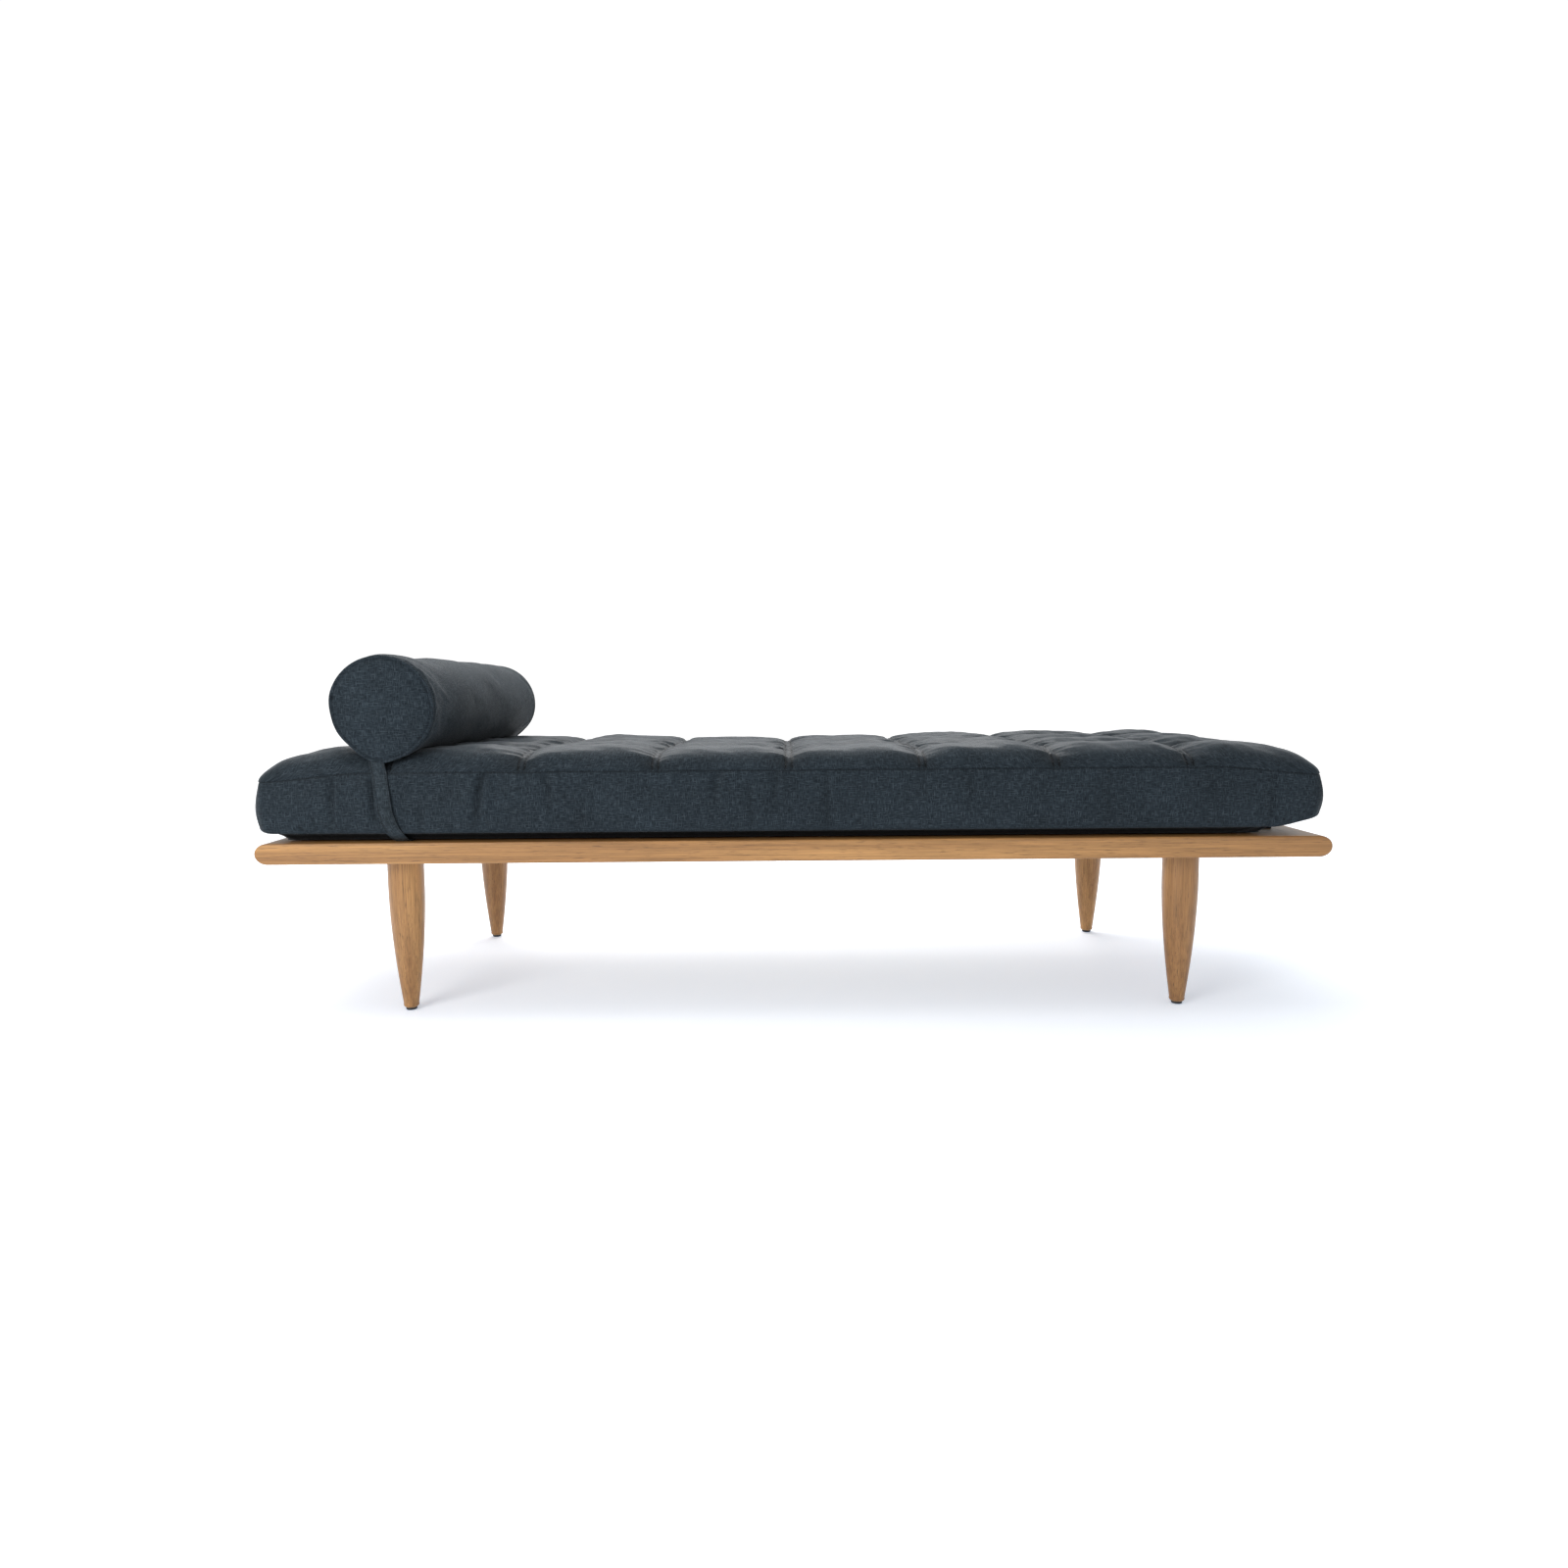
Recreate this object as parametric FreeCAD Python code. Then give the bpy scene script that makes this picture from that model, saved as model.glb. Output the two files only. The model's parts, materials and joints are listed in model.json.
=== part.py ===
import FreeCAD, Part
import math
import os

# Daybed: a low timber frame on four turned legs, a tufted box mattress laid on
# its slats, and a round bolster held at one end by a strap round the mattress.
# Millimetres. X runs along the bed, Y from the front to the back, Z up.
# The origin is on the floor under the middle of the frame.

V = FreeCAD.Vector

# ---- driving dimensions ----
FRAME_LENGTH = 1920.0
FRAME_DEPTH = 700.0
RAIL_HEIGHT = 38.0
RAIL_UNDERSIDE = 286.0
SIDE_RAIL_WIDTH = 60.0
END_RAIL_WIDTH = 110.0
NOSE_REACH = 23.0            # how far the rounded ends run out of the flat faces
EDGE_EASE = 3.0

LEG_SPACING_X = 1434.0
LEG_SPACING_Y = 560.0
LEG_TOP_RADIUS = 32.0
LEG_FOOT_RADIUS = 13.6
GLIDE_HEIGHT = 5.0
GLIDE_RADIUS = 10.0

SLAT_COUNT = 13
SLAT_WIDTH = 70.0
SLAT_THICKNESS = 15.0
SLAT_END_GAP = 2.0
BEARER_WIDTH = 120.0
LEDGER_SIZE = 20.0

MATTRESS_LENGTH = 1900.0
MATTRESS_WIDTH = 690.0
MATTRESS_SHIFT_X = -7.0
MATTRESS_TOP = 486.0
BOXING_TOP = 452.0
BASE_GAP = 3.0               # room for the grip strips and the strap
FABRIC = 2.0
BASE_SHEET = 2.5
SOFT_GAP = 0.5               # between a foam block and its cover
MATTRESS_CORNER = 30.0
MATTRESS_TOP_ROUND = 28.0
MATTRESS_BASE_ROUND = 18.0

BOLSTER_RADIUS = 94.0
BOLSTER_LENGTH = 696.0
BOLSTER_X = -720.0
BOLSTER_Z = 563.5
BOLSTER_SEAT = 486.5         # where its underside rests flat on the mattress

STRAP_WIDTH = 27.0
STRAP_THICKNESS = 1.1
STRAP_LEAN_TOP = -744.0      # the strap's middle where it is sewn to the bolster
STRAP_BASE_X = -700.0        # and where it turns under the mattress
STRAP_TOP = 505.0
STRAP_TURN = 19.5            # outer radius round the mattress's bottom edge
STRAP_OVERLAP = 60.0         # how far each half runs past the middle underneath
STRAP_LIFT = 0.4             # between the strap and the slats
STRAP_PLY_GAP = 0.1          # between its two halves where they overlap

GRIP_WIDTH = 25.0
GRIP_LENGTH = 500.0
GRIP_X = 885.0

CLEARANCE = 0.05             # round every dowel, bolt and screw

# ---- levels and places worked out from them ----
RAIL_TOP = RAIL_UNDERSIDE + RAIL_HEIGHT
RAIL_MIDDLE = RAIL_UNDERSIDE + RAIL_HEIGHT / 2
HALF_LENGTH = FRAME_LENGTH / 2
HALF_DEPTH = FRAME_DEPTH / 2
INNER_Y = HALF_DEPTH - SIDE_RAIL_WIDTH
END_RAIL_INNER_X = HALF_LENGTH - END_RAIL_WIDTH
LEG_X = LEG_SPACING_X / 2
LEG_Y = LEG_SPACING_Y / 2
SLAT_UNDERSIDE = RAIL_TOP - SLAT_THICKNESS
SLAT_PITCH = LEG_SPACING_X / (SLAT_COUNT - 1)
LEDGER_END_X = LEG_X - BEARER_WIDTH / 2
MATTRESS_BASE = RAIL_TOP + BASE_GAP


def save(name, *solids):
    """Write one node; several solids in it are identical small fixings."""
    shape = solids[0] if len(solids) == 1 else Part.makeCompound(list(solids))
    shape.exportStep("parts/" + name + ".step")
    volume = sum(solid.Volume for solid in shape.Solids)
    print(f"{name:24s} {len(shape.Solids):3d} solids  {volume / 1000:10.2f} cm3  valid {shape.isValid()}")


def block(x0, x1, y0, y1, z0, z1):
    return Part.makeBox(x1 - x0, y1 - y0, z1 - z0, V(x0, y0, z0))


def mirrored_x(shape):
    return shape.mirror(V(0, 0, 0), V(1, 0, 0))


def mirrored_y(shape):
    return shape.mirror(V(0, 0, 0), V(0, 1, 0))


def four_corners(x, y):
    return [(sx * x, sy * y) for sx in (-1, 1) for sy in (-1, 1)]


def edges_where(shape, test):
    """Edges whose bounding box passes a test."""
    return [edge for edge in shape.Edges if test(edge.BoundBox)]


def flat_at(value):
    """A test for edges that lie in one horizontal plane."""
    return lambda b: abs(b.ZMin - value) < 0.01 and abs(b.ZMax - value) < 0.01


# ---- frame ----
def nose_arc(centre_x, y, side):
    """Half-round end outline in the XZ plane, a little longer than it is half high."""
    centre = V(centre_x, y, RAIL_MIDDLE)
    tip = V(centre_x + side * NOSE_REACH, y, RAIL_MIDDLE)
    crown = V(centre_x, y, RAIL_TOP)
    ellipse = Part.Ellipse(tip, crown, centre)
    quarter = math.pi / 2
    return Part.Edge(Part.ArcOfEllipse(ellipse, -quarter, quarter))


def side_rail():
    """Full-length front rail: flat faces, half-round ends, eased front edges."""
    flat_x = HALF_LENGTH - NOSE_REACH
    y = -HALF_DEPTH
    outline = [
        Part.makeLine(V(-flat_x, y, RAIL_TOP), V(flat_x, y, RAIL_TOP)),
        nose_arc(flat_x, y, 1),
        Part.makeLine(V(flat_x, y, RAIL_UNDERSIDE), V(-flat_x, y, RAIL_UNDERSIDE)),
        nose_arc(-flat_x, y, -1),
    ]
    face = Part.Face(Part.Wire(Part.__sortEdges__(outline)))
    rail = face.extrude(V(0, SIDE_RAIL_WIDTH, 0))
    front_edges = edges_where(rail, lambda b: b.YMax < y + 0.01)
    return rail.makeFillet(EDGE_EASE, front_edges)


def end_rail():
    """Rail across the right end, between the side rails, with a half-round nose."""
    flat_x = HALF_LENGTH - NOSE_REACH
    y = -INNER_Y
    outline = [
        Part.makeLine(V(END_RAIL_INNER_X, y, RAIL_TOP), V(flat_x, y, RAIL_TOP)),
        nose_arc(flat_x, y, 1),
        Part.makeLine(V(flat_x, y, RAIL_UNDERSIDE), V(END_RAIL_INNER_X, y, RAIL_UNDERSIDE)),
        Part.makeLine(V(END_RAIL_INNER_X, y, RAIL_UNDERSIDE), V(END_RAIL_INNER_X, y, RAIL_TOP)),
    ]
    face = Part.Face(Part.Wire(Part.__sortEdges__(outline)))
    return face.extrude(V(0, 2 * INNER_Y, 0))


def dowel(x, z, radius, length, side_y, grow=0.0):
    """Dowel along Y across the joint at the inner face of a side rail."""
    y0 = side_y * INNER_Y - length / 2 - grow
    return Part.makeCylinder(radius + grow, length + 2 * grow, V(x, y0, z), V(0, 1, 0))


CORNER_DOWEL = {"radius": 5.0, "length": 60.0}
CORNER_DOWEL_OFFSETS = (24.0, 64.0)     # out from the end rail's inner edge
BEARER_DOWEL = {"radius": 4.0, "length": 50.0}
BEARER_DOWEL_OFFSET = 42.0              # each side of the leg
BEARER_THICKNESS = SLAT_UNDERSIDE - RAIL_UNDERSIDE
CORNER_DOWEL_PLACES = [
    (side * (END_RAIL_INNER_X + offset), RAIL_MIDDLE) for side in (-1, 1) for offset in CORNER_DOWEL_OFFSETS
]
BEARER_DOWEL_PLACES = [
    (side * LEG_X + offset, RAIL_UNDERSIDE + BEARER_THICKNESS / 2)
    for side in (-1, 1)
    for offset in (-BEARER_DOWEL_OFFSET, BEARER_DOWEL_OFFSET)
]


def dowels(places, kind, grow=0.0):
    return [
        dowel(x, z, kind["radius"], kind["length"], side_y, grow)
        for x, z in places
        for side_y in (-1, 1)
    ]


# ---- legs and their fixings ----
BOLT_RADIUS = 4.0
BOLT_IN_LEG = 45.0
BOLT_IN_INSERT = 17.0
INSERT_RADIUS = 6.0
INSERT_HEIGHT = 18.0
INSERT_FLANGE_RADIUS = 8.0
INSERT_FLANGE = 1.5
NAIL_RADIUS = 1.5
NAIL_TOP = 18.0
NAIL_BOTTOM = 3.0


def leg():
    """Turned leg about the Z axis: straight at the top, then a convex taper."""
    taper_top = 240.0
    taper_foot = 12.0
    handle = (taper_top - taper_foot) / 3
    foot_slope = 0.137
    taper = Part.BezierCurve()
    taper.setPoles([
        V(LEG_TOP_RADIUS, 0, taper_top),
        V(LEG_TOP_RADIUS, 0, taper_top - handle),
        V(LEG_FOOT_RADIUS + foot_slope * handle, 0, taper_foot + handle),
        V(LEG_FOOT_RADIUS, 0, taper_foot),
    ])
    sole_radius = GLIDE_RADIUS + 0.5
    toe_middle = V((LEG_FOOT_RADIUS + sole_radius) / 2 + 1.2, 0, (taper_foot + GLIDE_HEIGHT) / 2 - 1.2)
    outline = [
        Part.makeLine(V(0, 0, RAIL_UNDERSIDE), V(LEG_TOP_RADIUS, 0, RAIL_UNDERSIDE)),
        Part.makeLine(V(LEG_TOP_RADIUS, 0, RAIL_UNDERSIDE), V(LEG_TOP_RADIUS, 0, taper_top)),
        taper.toShape(),
        Part.Arc(V(LEG_FOOT_RADIUS, 0, taper_foot), toe_middle, V(sole_radius, 0, GLIDE_HEIGHT)).toShape(),
        Part.makeLine(V(sole_radius, 0, GLIDE_HEIGHT), V(0, 0, GLIDE_HEIGHT)),
        Part.makeLine(V(0, 0, GLIDE_HEIGHT), V(0, 0, RAIL_UNDERSIDE)),
    ]
    turned = Part.Face(Part.Wire(outline)).revolve(V(0, 0, 0), V(0, 0, 1), 360)
    top_edge = edges_where(turned, flat_at(RAIL_UNDERSIDE))
    turned = turned.makeFillet(1.0, top_edge)
    bolt_hole = Part.makeCylinder(
        BOLT_RADIUS + CLEARANCE, BOLT_IN_LEG + 1, V(0, 0, RAIL_UNDERSIDE - BOLT_IN_LEG - 1)
    )
    nail_hole = Part.makeCylinder(
        NAIL_RADIUS + CLEARANCE, NAIL_TOP + 1 - GLIDE_HEIGHT, V(0, 0, GLIDE_HEIGHT)
    )
    return turned.cut(bolt_hole).cut(nail_hole)


def leg_bolt():
    """Hanger bolt: coarse thread in the leg, machine thread in the insert."""
    return Part.makeCylinder(
        BOLT_RADIUS, BOLT_IN_LEG + BOLT_IN_INSERT, V(0, 0, RAIL_UNDERSIDE - BOLT_IN_LEG)
    )


def insert_nut():
    """Flanged threaded insert, set flush into the underside of a bearer."""
    sleeve = Part.makeCylinder(INSERT_RADIUS, INSERT_HEIGHT, V(0, 0, RAIL_UNDERSIDE))
    flange = Part.makeCylinder(INSERT_FLANGE_RADIUS, INSERT_FLANGE, V(0, 0, RAIL_UNDERSIDE))
    bore = Part.makeCylinder(BOLT_RADIUS + CLEARANCE, INSERT_HEIGHT, V(0, 0, RAIL_UNDERSIDE))
    return sleeve.fuse(flange).cut(bore).removeSplitter()


def insert_pocket():
    sleeve = Part.makeCylinder(
        INSERT_RADIUS + CLEARANCE, INSERT_HEIGHT + CLEARANCE, V(0, 0, RAIL_UNDERSIDE)
    )
    flange = Part.makeCylinder(
        INSERT_FLANGE_RADIUS + CLEARANCE, INSERT_FLANGE + CLEARANCE, V(0, 0, RAIL_UNDERSIDE)
    )
    return sleeve.fuse(flange)


def glide():
    """Domed glide disc under a leg, with the hole its nail sits in."""
    disc = Part.makeCylinder(GLIDE_RADIUS, GLIDE_HEIGHT)
    disc = disc.makeFillet(2.0, edges_where(disc, flat_at(0)))
    nail_seat = Part.makeCylinder(
        NAIL_RADIUS + CLEARANCE, GLIDE_HEIGHT - NAIL_BOTTOM, V(0, 0, NAIL_BOTTOM)
    )
    return disc.cut(nail_seat)


def glide_nail():
    return Part.makeCylinder(NAIL_RADIUS, NAIL_TOP - NAIL_BOTTOM, V(0, 0, NAIL_BOTTOM))


# ---- slats, ledgers, bearers and their screws ----
SCREW_RADIUS = 2.0
SCREW_HEAD_RADIUS = 4.0
SCREW_HEAD_DEPTH = 2.5
SLAT_SCREW_LENGTH = 30.0
SLAT_SCREW_OFFSET = 20.0     # toward the middle of the bed, clear of the leg inserts
LEDGER_SCREW_LENGTH = 45.0
LEDGER_SCREW_STEPS = (-4.5, -2.5, -0.5, 0.5, 2.5, 4.5)   # in slat pitches, between slats
SCREW_LINE_Y = INNER_Y - LEDGER_SIZE / 2
LEDGER_SCREW_Z = SLAT_UNDERSIDE - LEDGER_SIZE / 2


def screw(length, grow=0.0):
    """Countersunk screw standing on its point, head flush with Z = 0."""
    head = Part.makeCone(
        SCREW_RADIUS + grow, SCREW_HEAD_RADIUS + grow, SCREW_HEAD_DEPTH, V(0, 0, -SCREW_HEAD_DEPTH)
    )
    shank = Part.makeCylinder(SCREW_RADIUS + grow, length - SCREW_HEAD_DEPTH + grow, V(0, 0, -length - grow))
    return shank.fuse(head).removeSplitter()


def slat_centres():
    return [-LEG_X + index * SLAT_PITCH for index in range(SLAT_COUNT)]


def slat_screws(grow=0.0):
    lines = [x - SLAT_SCREW_OFFSET * ((x > 1) - (x < -1)) for x in slat_centres()]
    places = [V(x, side * SCREW_LINE_Y, RAIL_TOP) for x in lines for side in (-1, 1)]
    return [screw(SLAT_SCREW_LENGTH, grow).translated(place) for place in places]


def ledger_screws(grow=0.0):
    """Level screws through each ledger into its side rail, between the slats."""
    screws = []
    for side in (-1, 1):
        for step in LEDGER_SCREW_STEPS:
            fixing = screw(LEDGER_SCREW_LENGTH, grow)
            fixing.rotate(V(0, 0, 0), V(1, 0, 0), side * 90)
            fixing.translate(V(step * SLAT_PITCH, side * (INNER_Y - LEDGER_SIZE), LEDGER_SCREW_Z))
            screws.append(fixing)
    return screws


def slat(centre_x):
    board = block(
        centre_x - SLAT_WIDTH / 2,
        centre_x + SLAT_WIDTH / 2,
        -INNER_Y + SLAT_END_GAP,
        INNER_Y - SLAT_END_GAP,
        SLAT_UNDERSIDE,
        RAIL_TOP,
    )
    long_edges = edges_where(board, lambda b: b.YLength > SLAT_WIDTH)
    return board.makeFillet(2.0, long_edges)


def ledger(side):
    inner = side * INNER_Y
    outer = side * (INNER_Y - LEDGER_SIZE)
    return block(
        -LEDGER_END_X,
        LEDGER_END_X,
        min(inner, outer),
        max(inner, outer),
        SLAT_UNDERSIDE - LEDGER_SIZE,
        SLAT_UNDERSIDE,
    )


def bearer(side):
    return block(
        side * LEG_X - BEARER_WIDTH / 2,
        side * LEG_X + BEARER_WIDTH / 2,
        -INNER_Y,
        INNER_Y,
        RAIL_UNDERSIDE,
        SLAT_UNDERSIDE,
    )


def cut_all(shape, tools):
    """Cut only the tools whose boxes reach the shape."""
    near = [tool for tool in tools if tool.BoundBox.intersect(shape.BoundBox)]
    return shape.cut(near) if near else shape


def make_frame():
    holes = (
        dowels(CORNER_DOWEL_PLACES, CORNER_DOWEL, CLEARANCE)
        + dowels(BEARER_DOWEL_PLACES, BEARER_DOWEL, CLEARANCE)
        + slat_screws(CLEARANCE)
        + ledger_screws(CLEARANCE)
        + [insert_pocket().translated(V(x, y, 0)) for x, y in four_corners(LEG_X, LEG_Y)]
    )
    save("front_rail", cut_all(side_rail(), holes))
    save("back_rail", cut_all(mirrored_y(side_rail()), holes))
    save("right_end_rail", cut_all(end_rail(), holes))
    save("left_end_rail", cut_all(mirrored_x(end_rail()), holes))
    save("corner_dowels", *dowels(CORNER_DOWEL_PLACES, CORNER_DOWEL))
    save("left_leg_bearer", cut_all(bearer(-1), holes))
    save("right_leg_bearer", cut_all(bearer(1), holes))
    save("bearer_dowels", *dowels(BEARER_DOWEL_PLACES, BEARER_DOWEL))
    save("front_ledger", cut_all(ledger(-1), holes))
    save("back_ledger", cut_all(ledger(1), holes))
    save("ledger_screws", *ledger_screws())
    for number, x in enumerate(slat_centres(), start=1):
        save(f"slat_{number:02d}", cut_all(slat(x), holes))
    save("slat_screws", *slat_screws())


def make_legs():
    save("leg_insert_nuts", *[insert_nut().translated(V(x, y, 0)) for x, y in four_corners(LEG_X, LEG_Y)])
    save("glide_nails", *[glide_nail().translated(V(x, y, 0)) for x, y in four_corners(LEG_X, LEG_Y)])
    for x, y in four_corners(LEG_X, LEG_Y):
        corner = ("front" if y < 0 else "back") + ("_left" if x < 0 else "_right")
        save(f"{corner}_leg", leg().translated(V(x, y, 0)))
        save(f"{corner}_leg_bolt", leg_bolt().translated(V(x, y, 0)))
        save(f"{corner}_glide", glide().translated(V(x, y, 0)))


# ---- mattress ----
ZIP_TAPE_WIDTH = 25.0
ZIP_TAPE_THICKNESS = 0.9
ZIP_POCKET_DEPTH = 1.1
ZIP_POCKET_MARGIN = 0.5
SLIDER_GAP = 0.2
SLIDER_THICKNESS = 2.4
SLIDER_LENGTH = 14.0
SLIDER_WIDTH = 9.0
PULL_LENGTH = 22.0
PULL_WIDTH = 6.0
PULL_THICKNESS = 1.2
MATTRESS_ZIP_LENGTH = 600.0
MATTRESS_ZIP_Z = 392.0
MATTRESS_LEFT = MATTRESS_SHIFT_X - MATTRESS_LENGTH / 2


def rounded_block(inset, z0, z1, corner, base_round=0.0, top_round=0.0):
    """Mattress-sized block, inset all round, with rounded corners and edges."""
    half_x = MATTRESS_LENGTH / 2 - inset
    half_y = MATTRESS_WIDTH / 2 - inset
    shape = block(MATTRESS_SHIFT_X - half_x, MATTRESS_SHIFT_X + half_x, -half_y, half_y, z0, z1)
    shape = shape.makeFillet(corner, edges_where(shape, lambda b: b.ZLength > 1))
    if base_round:
        shape = shape.makeFillet(base_round, edges_where(shape, flat_at(z0)))
    if top_round:
        shape = shape.makeFillet(top_round, edges_where(shape, flat_at(z1)))
    return shape


def zip_slider(front, z_centre, centre_y, pull_down):
    """Slider body with its pull, standing off a face that looks along -X."""
    body = block(
        front - SLIDER_THICKNESS,
        front,
        centre_y - SLIDER_LENGTH / 2,
        centre_y + SLIDER_LENGTH / 2,
        z_centre - SLIDER_WIDTH / 2,
        z_centre + SLIDER_WIDTH / 2,
    )
    body = body.makeFillet(0.6, edges_where(body, lambda b: b.XMax < front - 0.1))
    pull_x = front - SLIDER_THICKNESS / 2
    if pull_down:
        pull = block(
            pull_x - PULL_THICKNESS / 2,
            pull_x + PULL_THICKNESS / 2,
            centre_y - PULL_WIDTH / 2,
            centre_y + PULL_WIDTH / 2,
            z_centre - PULL_LENGTH,
            z_centre,
        )
    else:
        pull = block(
            pull_x - PULL_THICKNESS / 2,
            pull_x + PULL_THICKNESS / 2,
            centre_y - PULL_LENGTH,
            centre_y,
            z_centre - PULL_WIDTH / 2,
            z_centre + PULL_WIDTH / 2,
        )
    return body.fuse(pull).removeSplitter()


def make_mattress():
    outer = rounded_block(
        0, MATTRESS_BASE, MATTRESS_TOP, MATTRESS_CORNER, MATTRESS_BASE_ROUND, MATTRESS_TOP_ROUND
    )
    lining = rounded_block(
        FABRIC, MATTRESS_BASE + FABRIC, BOXING_TOP + 5, MATTRESS_CORNER - FABRIC, MATTRESS_BASE_ROUND - FABRIC
    )
    core_inset = FABRIC + SOFT_GAP
    core = rounded_block(
        core_inset,
        MATTRESS_BASE + core_inset,
        BOXING_TOP,
        MATTRESS_CORNER - core_inset,
        MATTRESS_BASE_ROUND - core_inset,
    )
    base_corner = MATTRESS_CORNER - MATTRESS_BASE_ROUND
    base_sheet = rounded_block(
        MATTRESS_BASE_ROUND, MATTRESS_BASE, MATTRESS_BASE + BASE_SHEET, base_corner
    )
    above_boxing = block(-HALF_LENGTH, HALF_LENGTH, -HALF_DEPTH, HALF_DEPTH, BOXING_TOP, MATTRESS_TOP + 1)
    half_pocket = MATTRESS_ZIP_LENGTH / 2
    pocket_reach = ZIP_TAPE_WIDTH / 2 + ZIP_POCKET_MARGIN
    pocket = block(
        MATTRESS_LEFT,
        MATTRESS_LEFT + ZIP_POCKET_DEPTH,
        -half_pocket,
        half_pocket,
        MATTRESS_ZIP_Z - pocket_reach,
        MATTRESS_ZIP_Z + pocket_reach,
    )
    boxing = outer.cut([lining, above_boxing, base_sheet, pocket])
    tape_inner_x = MATTRESS_LEFT + ZIP_POCKET_DEPTH
    tape = block(
        tape_inner_x - ZIP_TAPE_THICKNESS,
        tape_inner_x,
        -half_pocket + ZIP_POCKET_MARGIN,
        half_pocket - ZIP_POCKET_MARGIN,
        MATTRESS_ZIP_Z - ZIP_TAPE_WIDTH / 2,
        MATTRESS_ZIP_Z + ZIP_TAPE_WIDTH / 2,
    )
    slider_front = tape_inner_x - ZIP_TAPE_THICKNESS - SLIDER_GAP
    slider_y = half_pocket - ZIP_POCKET_MARGIN - SLIDER_LENGTH
    save("mattress_core", core)
    save("mattress_top_panel", outer.common(above_boxing))
    save("mattress_boxing", boxing)
    save("mattress_base_panel", base_sheet)
    save("mattress_zip_tape", tape)
    save("mattress_zip_slider", zip_slider(slider_front, MATTRESS_ZIP_Z, slider_y, True))


def make_grip_strips():
    """Hook tape on the end rails, loop tape under the mattress, meeting halfway."""
    meeting = RAIL_TOP + BASE_GAP / 2
    hooks = []
    loops = []
    for side in (-1, 1):
        x0 = side * GRIP_X - GRIP_WIDTH / 2
        x1 = side * GRIP_X + GRIP_WIDTH / 2
        hooks.append(block(x0, x1, -GRIP_LENGTH / 2, GRIP_LENGTH / 2, RAIL_TOP, meeting))
        loops.append(block(x0, x1, -GRIP_LENGTH / 2, GRIP_LENGTH / 2, meeting, MATTRESS_BASE))
    save("grip_hook_strips", *hooks)
    save("grip_loop_strips", *loops)


# ---- bolster and its strap ----
BOLSTER_ZIP_LENGTH = 500.0
BOLSTER_ZIP_ANGLE = 30.0     # below level, on the side away from the seat
BOLSTER_TAPE_THICKNESS = 0.6
BOLSTER_POCKET_RADIUS = BOLSTER_RADIUS - 1.4
CAP = 2.0


def seated_cylinder(radius, y0, y1, underside):
    """Cylinder along Y, pressed flat where it rests on the mattress."""
    barrel = Part.makeCylinder(radius, y1 - y0, V(BOLSTER_X, y0, BOLSTER_Z), V(0, 1, 0))
    reach = 2 * radius
    below = block(BOLSTER_X - reach, BOLSTER_X + reach, y0 - 1, y1 + 1, BOLSTER_Z - reach, underside)
    return barrel.cut(below)


def round_bolster(shape):
    """Turn a piece built on the bolster's level side down to the zip's line."""
    turned = shape.copy()
    turned.rotate(V(BOLSTER_X, 0, BOLSTER_Z), V(0, 1, 0), -BOLSTER_ZIP_ANGLE)
    return turned


def strap_half(side, level):
    """Half of the strap: down one face of the mattress, round its edge and under.

    side is -1 for the front half and 1 for the back, and level is its underside
    below the mattress, because the halves overlap there.
    """
    face_y = BOLSTER_LENGTH / 2
    half = STRAP_WIDTH / 2
    turn_z = level + STRAP_TURN
    corners = [
        V(STRAP_LEAN_TOP - half, face_y, STRAP_TOP),
        V(STRAP_LEAN_TOP + half, face_y, STRAP_TOP),
        V(STRAP_BASE_X + half, face_y, turn_z),
        V(STRAP_BASE_X - half, face_y, turn_z),
    ]
    drop = Part.Face(Part.makePolygon(corners + [corners[0]])).extrude(V(0, STRAP_THICKNESS, 0))
    turn_y = face_y + STRAP_THICKNESS - STRAP_TURN
    x0 = STRAP_BASE_X - half
    ring = Part.makeCylinder(STRAP_TURN, STRAP_WIDTH, V(x0, turn_y, turn_z), V(1, 0, 0))
    hole = Part.makeCylinder(STRAP_TURN - STRAP_THICKNESS, STRAP_WIDTH, V(x0, turn_y, turn_z), V(1, 0, 0))
    quarter = block(x0, x0 + STRAP_WIDTH, turn_y, turn_y + STRAP_TURN, level, turn_z)
    turn = ring.cut(hole).common(quarter)
    under = block(x0, x0 + STRAP_WIDTH, -STRAP_OVERLAP, turn_y, level, level + STRAP_THICKNESS)
    strap = drop.fuse([turn, under]).removeSplitter()
    return strap if side > 0 else mirrored_y(strap)


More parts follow.
